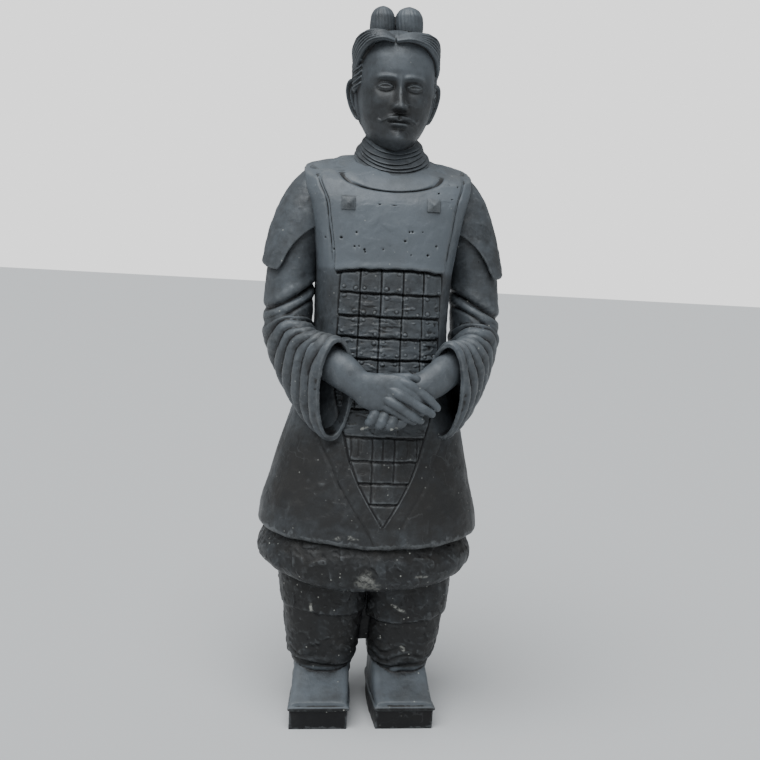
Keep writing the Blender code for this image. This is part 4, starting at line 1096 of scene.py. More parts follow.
LEFT_FINGERS = [
    [(3.4, -21.0, 79.4), (3.4, -23.9, 77.4), (2.8, -24.3, 75.9), (2.0, -22.6, 75.2)],
    [(1.4, -21.0, 79.2), (1.2, -24.2, 77.2), (0.6, -24.6, 75.5), (-0.2, -22.8, 74.7)],
    [(-0.7, -21.0, 79.0), (-1.1, -24.1, 77.4), (-1.8, -24.4, 75.8), (-2.4, -22.6, 75.0)],
    [(-2.8, -21.0, 79.0), (-3.3, -23.8, 77.8), (-4.1, -24.0, 76.4), (-4.7, -22.4, 75.7)],
]
THUMBS = [
    [(-3.4, -22.8, 85.2), (0.6, -23.8, 86.6), (3.8, -24.0, 86.9), (5.8, -23.7, 86.6), (7.4, -23.1, 86.0)],
]
# Clay left between the fingers, which lie close together
BETWEEN_RIGHT = [(-3.0, -23.6, 83.4), (1.5, -24.9, 83.2), (5.4, -25.2, 81.0), (8.6, -24.6, 78.9)]
BETWEEN_RIGHT_WIDTHS = [(0.0, 4.0, 1.2), (0.3, 4.3, 1.3), (0.65, 3.5, 1.2), (0.9, 2.6, 0.9), (1.0, 1.8, 0.4)]
BETWEEN_LEFT = [(3.6, -21.6, 78.2), (-0.6, -22.4, 77.2), (-4.2, -21.9, 77.4)]
BETWEEN_LEFT_WIDTHS = [(0.0, 2.2, 2.2), (0.5, 2.5, 2.4), (1.0, 1.9, 1.8)]
LEFT_FINGER_STOUTNESS = 1.22
FINGER_WIDTHS = [
    (0.0, 1.0, 0.8),
    (0.22, 1.16, 1.0),
    (0.4, 1.06, 0.94),
    (0.56, 1.10, 0.98),
    (0.7, 0.96, 0.86),
    (0.8, 0.96, 0.86),
    (0.91, 0.80, 0.68),
    (0.97, 0.54, 0.45),
    (1.0, 0.15, 0.12),
]


def limb(name, path, widths, grain, side_hint=(0.0, 0.0, 1.0)):
    """A forearm, hand or finger along a path."""
    length = sum(math.dist(a, b) for a, b in zip(path[:-1], path[1:]))
    girth = 2 * math.pi * max(max(w, h) for _, w, h in widths)
    shares = np.linspace(0.0, 1.0, max(8, int(length / grain)))
    grid, _, _ = swept(path, widths, shares, max(12, int(girth / grain)), side_hint)
    return form(name, grid)


def hands(grain):
    """Both forearms and hands, every finger a limb of its own."""
    made = [
        limb("right_hand", RIGHT_ARM + RIGHT_PALM, RIGHT_HAND_WIDTHS, grain),
        limb("left_hand", LEFT_ARM + LEFT_PALM, LEFT_HAND_WIDTHS, grain),
        limb("between_right_fingers", BETWEEN_RIGHT, BETWEEN_RIGHT_WIDTHS, grain),
        limb("between_left_fingers", BETWEEN_LEFT, BETWEEN_LEFT_WIDTHS, grain),
    ]
    stout = [(share, w * LEFT_FINGER_STOUTNESS, h * LEFT_FINGER_STOUTNESS) for share, w, h in FINGER_WIDTHS]
    for name, paths in (("right", RIGHT_FINGERS), ("left", LEFT_FINGERS), ("thumb", THUMBS)):
        for number, path in enumerate(paths):
            hint = (0.0, 0.0, 1.0) if name == "right" else (1.0, 0.0, 0.3)
            widths = stout if name == "left" else FINGER_WIDTHS
            made.append(limb(f"{name}_finger_{number}", path, widths, grain, hint))
    return made


# Neck cloth: wound round and leaning forward, each turn lapping over the one below
NECK_CLOTH_WIDTHS = [(0.0, 8.9, 9.4, 9.0), (0.5, 7.5, 8.3, 7.8), (1.0, 5.7, 6.7, 6.2)]


def neck_cloth(sizes):
    """The cloth wound round the neck, its turns uneven in height and fullness."""
    share = np.arange(0.0, 1.0, NECK_CLOTH_STEP)
    half_width, front, back = through(NECK_CLOTH_WIDTHS, share).T[..., None]
    angle = round_turn(NECK_CLOTH_COLUMNS)[None, :]
    wound = share[:, None] + 0.020 * np.sin(angle + 7 * share[:, None]) + 0.012 * np.sin(3 * angle + 1.0)
    wound = wound + 0.006 * np.sin(7 * angle + 20 * share[:, None])
    fullness = 0.8 + 0.2 * np.sin(2 * angle + 11 * share[:, None])
    roll = sizes.neck_roll / MODULE * (fullness * lapped(NECK_CLOTH_ROLLS * wound, 0.16) - 0.2)
    x, y = oval(angle, half_width + roll, front + roll, back + roll, 2.0)
    z = NECK_CLOTH_FOOT + NECK_CLOTH_RISE * share[:, None] + NECK_CLOTH_LEAN * y
    return form("neck_cloth", np.stack([x + NECK_CLOTH_PLACE[0], y + NECK_CLOTH_PLACE[1], z], axis=-1))


# Head: sections of (height, half width, front, back, squareness)
HEAD = [
    (141.3, 1.6, 6.2, 0.5, 2.0),
    (142.2, 3.2, 8.8, 1.4, 2.0),
    (143.2, 4.4, 9.9, 2.4, 2.1),
    (144.6, 5.6, 10.4, 3.6, 2.2),
    (146.4, 6.9, 10.4, 5.2, 2.2),
    (148.8, 8.0, 10.5, 7.6, 2.3),
    (152.0, 8.8, 10.5, 9.4, 2.3),
    (155.0, 9.3, 10.3, 10.4, 2.3),
    (158.0, 9.5, 10.3, 10.9, 2.3),
    (161.0, 9.6, 10.6, 11.0, 2.2),
    (164.0, 9.5, 10.3, 10.8, 2.2),
    (167.0, 9.1, 9.4, 10.2, 2.1),
    (169.6, 8.2, 8.0, 8.8, 2.0),
    (171.4, 6.4, 5.8, 6.6, 2.0),
    (172.6, 3.0, 2.6, 3.0, 2.0),
]
NECK = [(136.0, 6.0, 5.4, 6.2, 2.0), (142.0, 5.7, 5.2, 6.4, 2.0), (152.0, 6.0, 5.0, 8.0, 2.0)]


# Rounds and hollows of the face, each its height, its centre across and up, and its spread
CHEEKS = [
    (1.0, (1.5, NOSE_FOOT + 0.75), (0.65, 0.75)),
    (0.35, (0.0, NOSE_FOOT + 0.9), (1.0, 0.9)),
    (0.6, (5.4, 153.8), (2.2, 2.2)),
    (-0.35, (5.2, 149.2), (2.0, 2.4)),
    (0.55, (0.0, MOUTH), (3.4, 2.2)),
]
LIPS_AND_CHIN = [
    (-0.28, (0.0, MOUTH + 1.75), (0.38, 0.8)),
    (-0.45, (0.0, MOUTH - 1.75), (2.0, 0.6)),
    (0.8, (0.0, CHIN), (2.0, 1.5)),
]


def face_relief(x, z):
    """A calm, even face as a height over the front of the head."""
    across = np.abs(x)
    brow_line = BROW + 0.5 * np.cos(np.clip((across - 3.8) / 3.6, -1, 1) * math.pi / 2) - 0.25
    brow_ends = rise(across, 0.4, 1.6) * rise(6.8 - across, 0, 1.6)
    height = 0.62 * np.exp(-(((z - brow_line) / 0.6) ** 2)) * brow_ends
    height -= 1.25 * bump(across, z, (3.0, EYE[1] + 0.1), (2.4, 1.45))
    ball = 1 - ((across - EYE[0]) / 2.0) ** 2 - ((z - EYE[1]) / 1.25) ** 2
    height += 1.05 * np.sqrt(np.clip(ball, 0, 1))
    along_eye = np.clip((across - EYE[0]) / EYE_HALF[0], -1, 1)
    upper_lid = EYE[1] + EYE_HALF[1] * (1 - along_eye**2) * 0.9
    lower_lid = EYE[1] - EYE_HALF[1] * (1 - along_eye**2) * 0.7
    in_eye = rise(EYE_HALF[0] + 0.15 - np.abs(across - EYE[0]), 0, 0.3)
    height += 0.32 * line(z - upper_lid, 0.17) * in_eye
    height += 0.24 * line(z - lower_lid, 0.15) * in_eye
    height -= 0.26 * line(z - upper_lid - 0.45, 0.15) * in_eye
    down = np.clip((NOSE_BRIDGE - z) / (NOSE_BRIDGE - NOSE_FOOT), 0.0, 1.15)
    nose_ends = rise(z, NOSE_FOOT - 0.75, NOSE_FOOT + 0.35) * rise(NOSE_BRIDGE + 2.2 - z, 0, 2.4)
    ridge = NOSE_OUT * (0.38 + 0.62 * np.clip(down, 0, 1) ** 1.2) * (0.55 + 0.45 * down) * nose_ends
    height += ridge * np.exp(-((across / (0.95 + 0.55 * down)) ** 2.2))
    for out, centre, spread in CHEEKS:
        height += out * bump(across, z, centre, spread)
    mouth_fade = rise(MOUTH_HALF + 0.5 - across, 0.0, 1.2)
    bow = 0.18 * np.cos(np.clip(across / 0.9, 0, 1) * math.pi)
    height += 0.52 * line(z - MOUTH - 0.55 + bow, 0.42) * mouth_fade
    height += 0.66 * line(z - MOUTH + 0.66, 0.5) * rise(MOUTH_HALF - across, 0.0, 1.4)
    height -= 0.62 * line(z - MOUTH, 0.17) * mouth_fade
    for out, centre, spread in LIPS_AND_CHIN:
        height += out * bump(across, z, centre, spread)
    height += 0.7 * stroke(across, z, [(u, MOUTH + up) for u, up in MOUSTACHE], 0.45, 0.4)
    height += 0.22 * bump(across, z, (0.0, MOUTH - 1.9), (0.55, 0.75))
    return height


def smoke_and_shade_on_head(points):
    """The face is painted darker below the brow than the forehead and the hair, as shade."""
    y, z = points[:, 1], points[:, 2]
    return HEAD_SMOKE + FACE_SHADE * rise(-z, -FOREHEAD[1], -FOREHEAD[0]) * rise(-y, 2.0, 7.0)


def head(grain):
    """The head with its face, and the neck that carries it."""
    levels = np.arange(HEAD[0][0], HEAD[-1][0] + grain / 2, grain)
    grid = turned(HEAD, levels, round_turn(GIRTHS["head"] / grain))
    facing = rise(-grid[..., 1], 1.0, 6.5)
    relief = face_relief(grid[..., 0], grid[..., 2]) * facing
    skull = grid + np.array([0.0, -1.0, 0.0]) * relief[..., None]
    neck_levels = np.arange(NECK[0][0], NECK[-1][0], 2 * grain)
    neck = turned(NECK, neck_levels, round_turn(GIRTHS["neck"] / grain))
    return [form("face", skull + HEAD_PLACE), form("neck", neck + HEAD_PLACE)]


EAR_PROFILE = [
    (0.0, 0.02, -0.9),
    (0.15, 0.35, -1.1),
    (0.28, 0.58, -0.3),
    (0.36, 0.68, 0.1),
    (0.45, 0.78, -0.25),
    (0.57, 0.93, 0.7),
    (0.65, 1.03, 0.5),
    (0.75, 1.0, -0.1),
    (0.9, 0.6, -1.9),
    (1.0, 0.05, -2.9),
]


def ear(name, side, grain):
    """An ear: a bowl inside a rolled rim, wide at the top and set closer to the head at the lobe."""
    share = np.arange(0.0, 1.0 + grain / 14, grain / 7)
    radius, height = through(EAR_PROFILE, share).T[..., None]
    angle = round_turn(GIRTHS["ear"] / grain)[None, :]
    wide = 1 + 0.22 * np.sin(angle)
    forward = radius * EAR_HALF_WIDTH * wide * np.cos(angle)
    up = radius * EAR_HALF_HEIGHT * np.sin(angle)
    splay = math.radians(38)
    out = height + 0.04 * up
    inward = EAR_TAPER * (EAR_HALF_HEIGHT - up)
    x = EAR_CENTRE[0] + out * math.cos(splay) - forward * math.sin(splay) - inward
    y = EAR_CENTRE[1] - out * math.sin(splay) - forward * math.cos(splay)
    z = np.broadcast_to(EAR_CENTRE[2] + up, x.shape)
    grid = np.flip(np.stack([x, y, z], axis=-1), axis=0)
    return form(name, (grid if side > 0 else mirrored(grid)) + HEAD_PLACE)


# Hair: a close cap combed up from the nape, swept locks in front, and a knot of two lobes
HAIR_CAP = [
    (147.0, 6.6, 0.5, 8.6, 2.0),
    (149.5, 8.2, 0.5, 10.2, 2.1),
    (153.0, 9.4, 0.6, 11.4, 2.2),
    (158.0, 9.9, 1.0, 12.0, 2.2),
    (163.0, 9.9, 3.0, 12.0, 2.2),
    (166.5, 9.6, 6.8, 11.3, 2.1),
    (169.5, 8.6, 7.8, 9.8, 2.1),
    (171.0, 6.9, 6.2, 7.8, 2.0),
    (171.9, 4.2, 3.8, 4.8, 2.0),
]
KNOT_LOBE = [
    (168.0, 2.4, 2.2, 2.2, 2.0),
    (171.5, 3.1, 2.9, 3.0, 2.0),
    (174.5, 3.45, 3.5, 3.5, 2.0),
    (177.0, 3.3, 3.4, 3.4, 2.0),
    (178.8, 2.5, 2.5, 2.5, 2.0),
    (179.7, 1.2, 1.2, 1.2, 2.0),
    (180.0, 0.3, 0.3, 0.3, 2.0),
]
# Each lobe of the knot: its place across, its width as a share of the lobe above, and how far it is sunk
KNOT_LOBES = [(-3.8, 0.92, 0.5), (2.8, 1.06, 0.2)]
# The topmost and the lowest of the locks swept from the parting over the temple to the ear
TOP_LOCK = [
    (0.3, -6.8, 169.7),
    (3.4, -7.2, 170.7),
    (6.8, -5.8, 171.0),
    (9.0, -3.2, 169.8),
    (10.0, 0.6, 167.2),
    (10.2, 4.2, 164.2),
]
LOW_LOCK = [
    (0.2, -9.4, 168.4),
    (3.2, -9.3, 168.9),
    (6.3, -8.0, 168.3),
    (8.6, -5.6, 166.0),
    (9.6, -2.2, 162.6),
    (9.9, 1.6, 159.4),
]
FRONT_LOCKS = 5
LOCK_WIDTHS = [(0.0, 0.3, 0.7), (0.2, 0.5, 1.1), (0.5, 0.56, 1.25), (0.8, 0.5, 1.05), (1.0, 0.2, 0.3)]
LOCK_WAVE = 0.34
# Shorter locks drawn back over each ear: where the first and the last begin and end
EAR_LOCKS = 6
EAR_LOCK_TOP = [(7.0, -4.6, 165.6), (9.3, -0.8, 163.8), (9.9, 3.0, 161.8)]
EAR_LOCK_FOOT = [(7.0, -4.2, 158.4), (9.1, -1.2, 157.4), (9.7, 2.2, 157.0)]


def between(first, last, share):
    """The path that lies between two others, at share of the way."""
    return [tuple(a + (b - a) * share for a, b in zip(p, q)) for p, q in zip(first, last)]


def lock(name, path, grain, side, strand, phase):
    """One wavy lock of hair with comb lines along it."""
    shares = np.arange(0.0, 1.0 + grain / 40, grain / 20)
    grid, t, angle = swept(path, LOCK_WIDTHS, shares, GIRTHS["lock"] / grain, (0.0, 0.0, 1.0))
    grid = raised(grid, strand * (np.abs(np.sin(2.5 * angle + 2.0 * t)) - 0.5))
    grid = (grid if side > 0 else mirrored(grid)) + HEAD_PLACE
    grid[..., 0] += PARTING * (1 - t) ** 2
    grid[..., 2] += LOCK_WAVE * np.sin(7.5 * t + phase) * t
    return form(name, grid)


def hair(grain, strand):
    """The close cap, the locks swept back from the parting and over the ears, and the knot."""
    levels = np.arange(HAIR_CAP[0][0], HAIR_CAP[-1][0] + grain / 2, grain)
    cap = turned(HAIR_CAP, levels, round_turn(GIRTHS["cap"] / grain))
    around = np.arctan2(cap[..., 1], cap[..., 0])
    comb = strand * np.abs(np.sin(STRANDS_ROUND * around + 0.06 * (cap[..., 2] - 150)))
    made = [form("hair_cap", raised(cap, comb) + HEAD_PLACE)]
    for side in (-1, 1):
        for number in range(FRONT_LOCKS):
            path = between(LOW_LOCK, TOP_LOCK, number / (FRONT_LOCKS - 1))
            made.append(lock(f"front_lock_{side}_{number}", path, grain, side, strand, 0.5 * number + side))
        for number in range(EAR_LOCKS):
            path = between(EAR_LOCK_FOOT, EAR_LOCK_TOP, number / (EAR_LOCKS - 1))
            made.append(lock(f"ear_lock_{side}_{number}", path, grain, side, strand, 1.7 * number))
    for across, wide, sunk in KNOT_LOBES:
        levels = np.arange(KNOT_LOBE[0][0], KNOT_LOBE[-1][0] + grain / 2, grain)
        lobe = turned(KNOT_LOBE, levels, round_turn(GIRTHS["knot"] / grain))
        around = np.arctan2(lobe[..., 1], lobe[..., 0])
        twist = 11 * around + 0.5 * (lobe[..., 2] - 174)
        combed = 0.4 * strand * (np.abs(np.sin(twist)) - 1) * rise(-lobe[..., 2], -179.6, -177.6)
        lobe = raised(lobe, combed) * np.array([wide, 1.0, 1.0])
        made.append(form(f"knot_{across}", lobe + HEAD_PLACE + np.array([across, KNOT_DEPTH, -sunk])))
    return made


def filled(tree, socket, value):
    """Joins the socket to another one, or gives it a plain value."""
    if isinstance(value, bpy.types.NodeSocket):
        tree.links.new(value, socket)
    else:
        socket.default_value = value


def wired(tree, kind, inputs=None, **settings):
    """Adds a node to the tree, sets its options, and fills or joins its inputs."""
    made = tree.nodes.new(kind)
    for name, value in settings.items():
        setattr(made, name, value)
    for name, value in (inputs or {}).items():
        filled(tree, made.inputs[name], value)
    return made


def group_of(name, inputs, outputs):
    """A new shader node group with named sockets: returns its tree, its inputs and its output node."""
    tree = bpy.data.node_groups.new(name, "ShaderNodeTree")
    kinds = {"Colour": "NodeSocketColor", "Value": "NodeSocketFloat", "Vector": "NodeSocketVector"}
    for socket, kind in inputs.items():
        tree.interface.new_socket(name=socket, in_out="INPUT", socket_type=kinds[kind])
    for socket, kind in outputs.items():
        tree.interface.new_socket(name=socket, in_out="OUTPUT", socket_type=kinds[kind])
    given = tree.nodes.new("NodeGroupInput").outputs
    return tree, given, tree.nodes.new("NodeGroupOutput")


def ramped(tree, value, low, high, foot=0.0, top=1.0):
    """The value mapped softly from low..high to foot..top."""
    inputs = {"Value": value, "From Min": low, "From Max": high, "To Min": foot, "To Max": top}
    return wired(tree, "ShaderNodeMapRange", inputs, interpolation_type="SMOOTHSTEP").outputs["Result"]


def reckoned(tree, operation, value, *others):
    """The value taken with each of the others in turn by one kind of sum."""
    for other in others:
        value = wired(tree, "ShaderNodeMath", {0: value, 1: other}, operation=operation).outputs["Value"]
    return value


def mixed(tree, share, a, b):
    """The two colours mixed by share."""
    inputs = {"Factor": share, "A": a, "B": b}
    made = wired(tree, "ShaderNodeMix", data_type="RGBA")
    for socket in made.inputs:
        if socket.name in inputs and socket.type == ("VALUE" if socket.name == "Factor" else "RGBA"):
            filled(tree, socket, inputs[socket.name])
    return made.outputs[2]


# Noise patterns of the finish: (waves to the metre, detail, roughness)
PATTERNS = {
    "clouds": (4.5, 6.0, 0.6),
    "mottle": (30.0, 6.0, 0.7),
    "patches": (9.0, 7.0, 0.65),
    "rubbed": (55.0, 5.0, 0.7),
    "scratch lines": (15.0, 3.0, 0.5),
    "scratched places": (8.0, 3.0, 0.6),
    "broken marks": (90.0, 4.0, 0.7),
    "lumps": (42.0, 6.0, 0.6),
    "pores": (210.0, 3.0, 0.6),
    "brushed lines": (2.2, 3.0, 0.5),
    "gloss": (24.0, 5.0, 0.6),
}


def noise(tree, place, pattern):
    """One of the noise patterns of the finish, from 0 to 1."""
    scale, detail, roughness = PATTERNS[pattern]
    inputs = {"Vector": place, "Scale": scale, "Detail": detail, "Roughness": roughness}
    return wired(tree, "ShaderNodeTexNoise", inputs).outputs["Fac"]


def firing_and_shade_group():
    """Uneven firing and painted shade: clouds of fire-darkened clay over the bare colour, painted shade in
    the hollows and cut lines, and a painted highlight on raised forms.
    """
    inputs = {"Place": "Vector", "Clay": "Colour", "Smoked And Shaded": "Colour", "Soot And Deep Shade": "Colour"}
    inputs |= {"Smoke And Shade": "Value", "Relief": "Value", "Cuts": "Value"}
    tree, given, out = group_of("firing_and_shade", inputs, {"Colour": "Colour"})
    clouds = ramped(tree, noise(tree, given["Place"], "clouds"), 0.33, 0.67, -0.13, 0.11)
    mottle = ramped(tree, noise(tree, given["Place"], "mottle"), 0.3, 0.7, -0.11, 0.09)
    # Painted shade: darker where the surface lies in a broad hollow
    hollow = ramped(tree, given["Relief"], -0.05, -0.40, 0.0, 0.38)
    # Painted highlight: lighter where the surface stands proud
    proud = ramped(tree, given["Relief"], 0.08, 0.45, 0.0, -0.14)
    # Painted shade: near black in narrow cut lines and grooves
    cuts = ramped(tree, given["Cuts"], -0.025, -0.13, 0.0, 0.8)
    # The noted share holds the firing's darkening together with shade painted by height and by piece
    share = reckoned(tree, "ADD", given["Smoke And Shade"], clouds, mottle, hollow, proud, cuts)
    smoked_and_shaded = mixed(tree, ramped(tree, share, 0.0, 1.0), given["Clay"], given["Smoked And Shaded"])
    # Past a share of 1 the colour goes on to the darkest one: painted shade in deep hollows, and the soles'
    # own black
    sooty_and_shaded = mixed(tree, ramped(tree, share, 1.0, 1.5), smoked_and_shaded, given["Soot And Deep Shade"])
    tree.links.new(sooty_and_shaded, out.inputs["Colour"])
    return tree


def laid_over(tree, given, out, mask, coat_of):
    """Ends a group: lays one of its given colours over the clay's by the mask."""
    tree.links.new(mixed(tree, mask, given["Colour"], given[coat_of]), out.inputs["Colour"])
    tree.links.new(mask, out.inputs["Mask"])
    return tree


def dust_group():
    """Earth and dust in patches, thickest on ledges."""
    inputs = {"Place": "Vector", "Colour": "Colour", "Dust": "Colour", "Amount": "Value"}
    inputs |= {"Facing Up": "Value", "Relief": "Value"}
    tree, given, out = group_of("settled_dust", inputs, {"Colour": "Colour", "Mask": "Value"})
    patches = ramped(tree, noise(tree, given["Place"], "patches"), 0.42, 0.66, 0.15, 1.0)
    ledges = ramped(tree, given["Facing Up"], -0.2, 0.9, 0.25, 1.0)
    out_of_hollows = ramped(tree, given["Relief"], -0.25, 0.0)
    mask = reckoned(tree, "MULTIPLY", patches, ledges, out_of_hollows, given["Amount"])
    return laid_over(tree, given, out, mask, "Dust")


def wear_and_highlight_group():
    """Wear and painted highlight: edges and raised folds made lighter, partly by rubbing and partly as a
    painted highlight, broken up by grain, and thin scratches.
    """
    inputs = {"Place": "Vector", "Colour": "Colour", "Worn And Lit": "Colour", "Amount": "Value", "Relief": "Value"}
    tree, given, out = group_of("worn_and_highlit_edges", inputs, {"Colour": "Colour", "Mask": "Value"})
    edges = ramped(tree, given["Relief"], 0.02, 0.13)
    grain = ramped(tree, noise(tree, given["Place"], "rubbed"), 0.36, 0.6, 0.1, 1.0)
    off_line = reckoned(tree, "SUBTRACT", noise(tree, given["Place"], "scratch lines"), 0.5)
    near_line = ramped(tree, reckoned(tree, "ABSOLUTE", off_line, 0.0), 0.011, 0.003)
    some = ramped(tree, noise(tree, given["Place"], "scratched places"), 0.50, 0.60, 0.0, 0.3)
    scratched = reckoned(tree, "MULTIPLY", near_line, some)
    # The lightened edges stand partly for rubbing and partly for a painted highlight where light catches
    # them
    rubbed = reckoned(tree, "MAXIMUM", reckoned(tree, "MULTIPLY", edges, grain), scratched)
    return laid_over(tree, given, out, reckoned(tree, "MULTIPLY", rubbed, given["Amount"]), "Worn And Lit")


def fleck_group():
    """Pale flecks of lime and grit scattered over the clay, and the marks noted on the points."""
    inputs = {"Place": "Vector", "Colour": "Colour", "Lime": "Colour", "Amount": "Value", "Marks": "Value"}
    tree, given, out = group_of("pale_flecks", inputs, {"Colour": "Colour", "Mask": "Value"})
    cells = wired(tree, "ShaderNodeTexVoronoi", {"Vector": given["Place"], "Scale": 95.0})
    grit = ramped(tree, cells.outputs["Distance"], 0.24, 0.10)
    chosen = wired(tree, "ShaderNodeSeparateColor", {"Color": cells.outputs["Color"]}).outputs["Red"]
    few = ramped(tree, chosen, 0.93, 0.97)
    flecks = reckoned(tree, "MULTIPLY", grit, few, given["Amount"])
    broken = ramped(tree, noise(tree, given["Place"], "broken marks"), 0.38, 0.56, 0.1, 1.0)
    mask = reckoned(tree, "MAXIMUM", flecks, reckoned(tree, "MULTIPLY", given["Marks"], broken))
    return laid_over(tree, given, out, mask, "Lime")


PORE_DEPTH = 0.18


def skin_group():
    """The clay's skin: pores, fine pits and brushed scratches as a height."""
    tree, given, out = group_of("clay_skin", {"Place": "Vector", "Scratches": "Value"}, {"Height": "Value"})
    lumps = noise(tree, given["Place"], "lumps")
    pores = ramped(tree, noise(tree, given["Place"], "pores"), 0.30, 0.44)
    inputs = {"Vector": given["Place"], "Rotation": (0.3, 0.5, 0.0), "Scale": (60.0, 60.0, 9.0)}
    stretched = wired(tree, "ShaderNodeMapping", inputs).outputs["Vector"]
    lines = ramped(tree, noise(tree, stretched, "brushed lines"), 0.36, 0.46)
    cut = reckoned(tree, "MULTIPLY", lines, given["Scratches"])
    height = reckoned(tree, "ADD", lumps, reckoned(tree, "MULTIPLY", pores, PORE_DEPTH), cut)
    tree.links.new(height, out.inputs["Height"])
    return tree


GROUPS = {
    "firing_and_shade": firing_and_shade_group,
    "settled_dust": dust_group,
    "worn_and_highlit_edges": wear_and_highlight_group,
    "pale_flecks": fleck_group,
    "clay_skin": skin_group,
}


def placed(tree, name, inputs):
    """Puts a shared node group into a material with its own values."""
    made = tree.nodes.new("ShaderNodeGroup")
    made.node_tree = bpy.data.node_groups.get(name) or GROUPS[name]()
    for socket, value in inputs.items():
        filled(tree, made.inputs[socket], value)
    return made.outputs


# The clay of each piece: how much dust, edge rubbing with painted highlight, flecks, scratches and gloss it
# has, each 0 to 1
CLAYS = {
    "armour_and_coat": (0.3, 0.45, 0.35, 0.12, 0.35),
    "legs_and_shoes": (0.3, 0.35, 0.8, 0.2, 0.26),
    "sleeves": (0.25, 0.4, 0.5, 0.12, 0.35),
    "hands": (0.15, 0.5, 0.4, 0.05, 0.4),
    "neck_cloth": (0.1, 0.8, 0.3, 0.08, 0.35),
    "head": (0.08, 0.6, 0.15, 0.06, 0.4),
}
# How much rougher dust and flecks make the clay, and how far its own gloss wanders
DUST_DULLNESS = 0.35
GLOSS_BLOTCHES = 0.08
# The skin's relief, in metres, and how much of it the light shows
SKIN_DEPTH = 0.0016
SKIN_STRENGTH = 0.6


def fired_clay(piece, finish):
    """The dark clay of one piece of the figure."""
    dust, wear_and_highlight, flecks, scratches, gloss = CLAYS[piece]
    material = bpy.data.materials.new("clay_of_" + piece)
    material.use_nodes = True
    tree = material.node_tree
    shader = tree.nodes["Principled BSDF"]
    place = wired(tree, "ShaderNodeTexCoord").outputs["Object"]

    def read(attribute):
        return wired(tree, "ShaderNodeAttribute", attribute_name=attribute).outputs["Fac"]

    broad, fine = read("broad_relief"), read("fine_relief")
    inputs = {"Place": place, "Clay": finish.clay, "Smoked And Shaded": finish.smoked_and_shaded, "Soot And Deep Shade": finish.soot_and_deep_shade}
    inputs |= {"Smoke And Shade": read("smoke_and_shade"), "Relief": broad, "Cuts": fine}
    # The firing's colour brings in the painted shade and highlight, through the noted share and the relief
    bare = placed(tree, "firing_and_shade", inputs)
    inputs = {"Place": place, "Colour": bare["Colour"], "Worn And Lit": finish.worn, "Amount": wear_and_highlight, "Relief": fine}
    worn = placed(tree, "worn_and_highlit_edges", inputs)
    inputs = {"Place": place, "Colour": worn["Colour"], "Dust": finish.dust, "Amount": dust}
    inputs |= {"Facing Up": read("facing_up"), "Relief": broad}
    dusty = placed(tree, "settled_dust", inputs)
    inputs = {"Place": place, "Colour": dusty["Colour"], "Lime": finish.lime, "Amount": flecks}
    flecked = placed(tree, "pale_flecks", inputs | {"Marks": read("pale")})
    tree.links.new(flecked["Colour"], shader.inputs["Base Color"])
    shader.inputs["Specular IOR Level"].default_value = gloss
    covered = reckoned(tree, "MAXIMUM", dusty["Mask"], flecked["Mask"])
    dull = reckoned(tree, "MULTIPLY", covered, DUST_DULLNESS)
    blotches = ramped(tree, noise(tree, place, "gloss"), 0.3, 0.7, -GLOSS_BLOTCHES, GLOSS_BLOTCHES)
    tree.links.new(reckoned(tree, "ADD", dull, blotches, finish.roughness), shader.inputs["Roughness"])
    skin = placed(tree, "clay_skin", {"Place": place, "Scratches": scratches})
    inputs = {"Strength": SKIN_STRENGTH, "Distance": SKIN_DEPTH, "Height": skin["Height"]}
    tree.links.new(wired(tree, "ShaderNodeBump", inputs).outputs["Normal"], shader.inputs["Normal"])
    return material


class WARRIOR_OT_coat(bpy.types.Operator):
    """Models the armour and the coat's skirts"""

    bl_idname = "warrior.coat"
    bl_label = "Armour and coat"

    def execute(self, context):
        sizes = context.scene.warrior_sizes
        parts = [coat(sizes)]
        for number, place in enumerate(BOSSES):
            parts.append(boss(f"boss_{number}", place, sizes.boss_raise / MODULE, BOSS_GRAIN))
        body = joined(parts, "armour_and_coat")
        finished(body, smoke_shade_and_sheen_on_coat)
        return {"FINISHED"}


class WARRIOR_OT_legs(bpy.types.Operator):
    """Models the under-robe, the trouser legs and the square-toed shoes"""

    bl_idname = "warrior.legs"
    bl_label = "Under-robe, legs and shoes"

    def execute(self, context):
        sizes = context.scene.warrior_sizes
        grain = sizes.grain / MODULE
        parts = [under_robe(grain), crotch(grain)]
        for side, name in SIDES:
            parts.append(leg(f"{name}_leg", side, grain))
            parts.extend(shoe(f"{name}_shoe", ANKLES[side > 0], TOES[side > 0], grain))
        body = pressed_together(parts, "legs_and_shoes", sizes.grain)
        pressed_by_hand(body, sizes.unevenness, lumps_of_legs)
        stood_flat(body)
        finished(body, shade_and_black_soles_on_legs)
        return {"FINISHED"}


class WARRIOR_OT_sleeves(bpy.types.Operator):
    """Models the long sleeves with their folds and the flared short sleeves over them"""

    bl_idname = "warrior.sleeves"
    bl_label = "Sleeves"

    def execute(self, context):
        sizes = context.scene.warrior_sizes
        grain, fold = sizes.grain / MODULE, sizes.fold / MODULE
        parts = []
        for side, name in SIDES:
            parts.append(sleeve(f"{name}_sleeve", side, grain, fold))
            parts.append(short_sleeve(f"{name}_short_sleeve", side, grain))
        body = pressed_together(parts, "sleeves", sizes.grain)
        pressed_by_hand(body, sizes.unevenness)
        finished(body, smoke_and_shade_of(body.name))
        return {"FINISHED"}


class WARRIOR_OT_hands(bpy.types.Operator):
    """Models the forearms and the hands laid one over the other"""

    bl_idname = "warrior.hands"
    bl_label = "Hands"

    def execute(self, context):
        sizes = context.scene.warrior_sizes
        body = pressed_together(hands(sizes.fine_grain / MODULE), "hands", sizes.fine_grain)
        pressed_by_hand(body, sizes.unevenness)
        finished(body, smoke_and_shade_of(body.name))
        return {"FINISHED"}


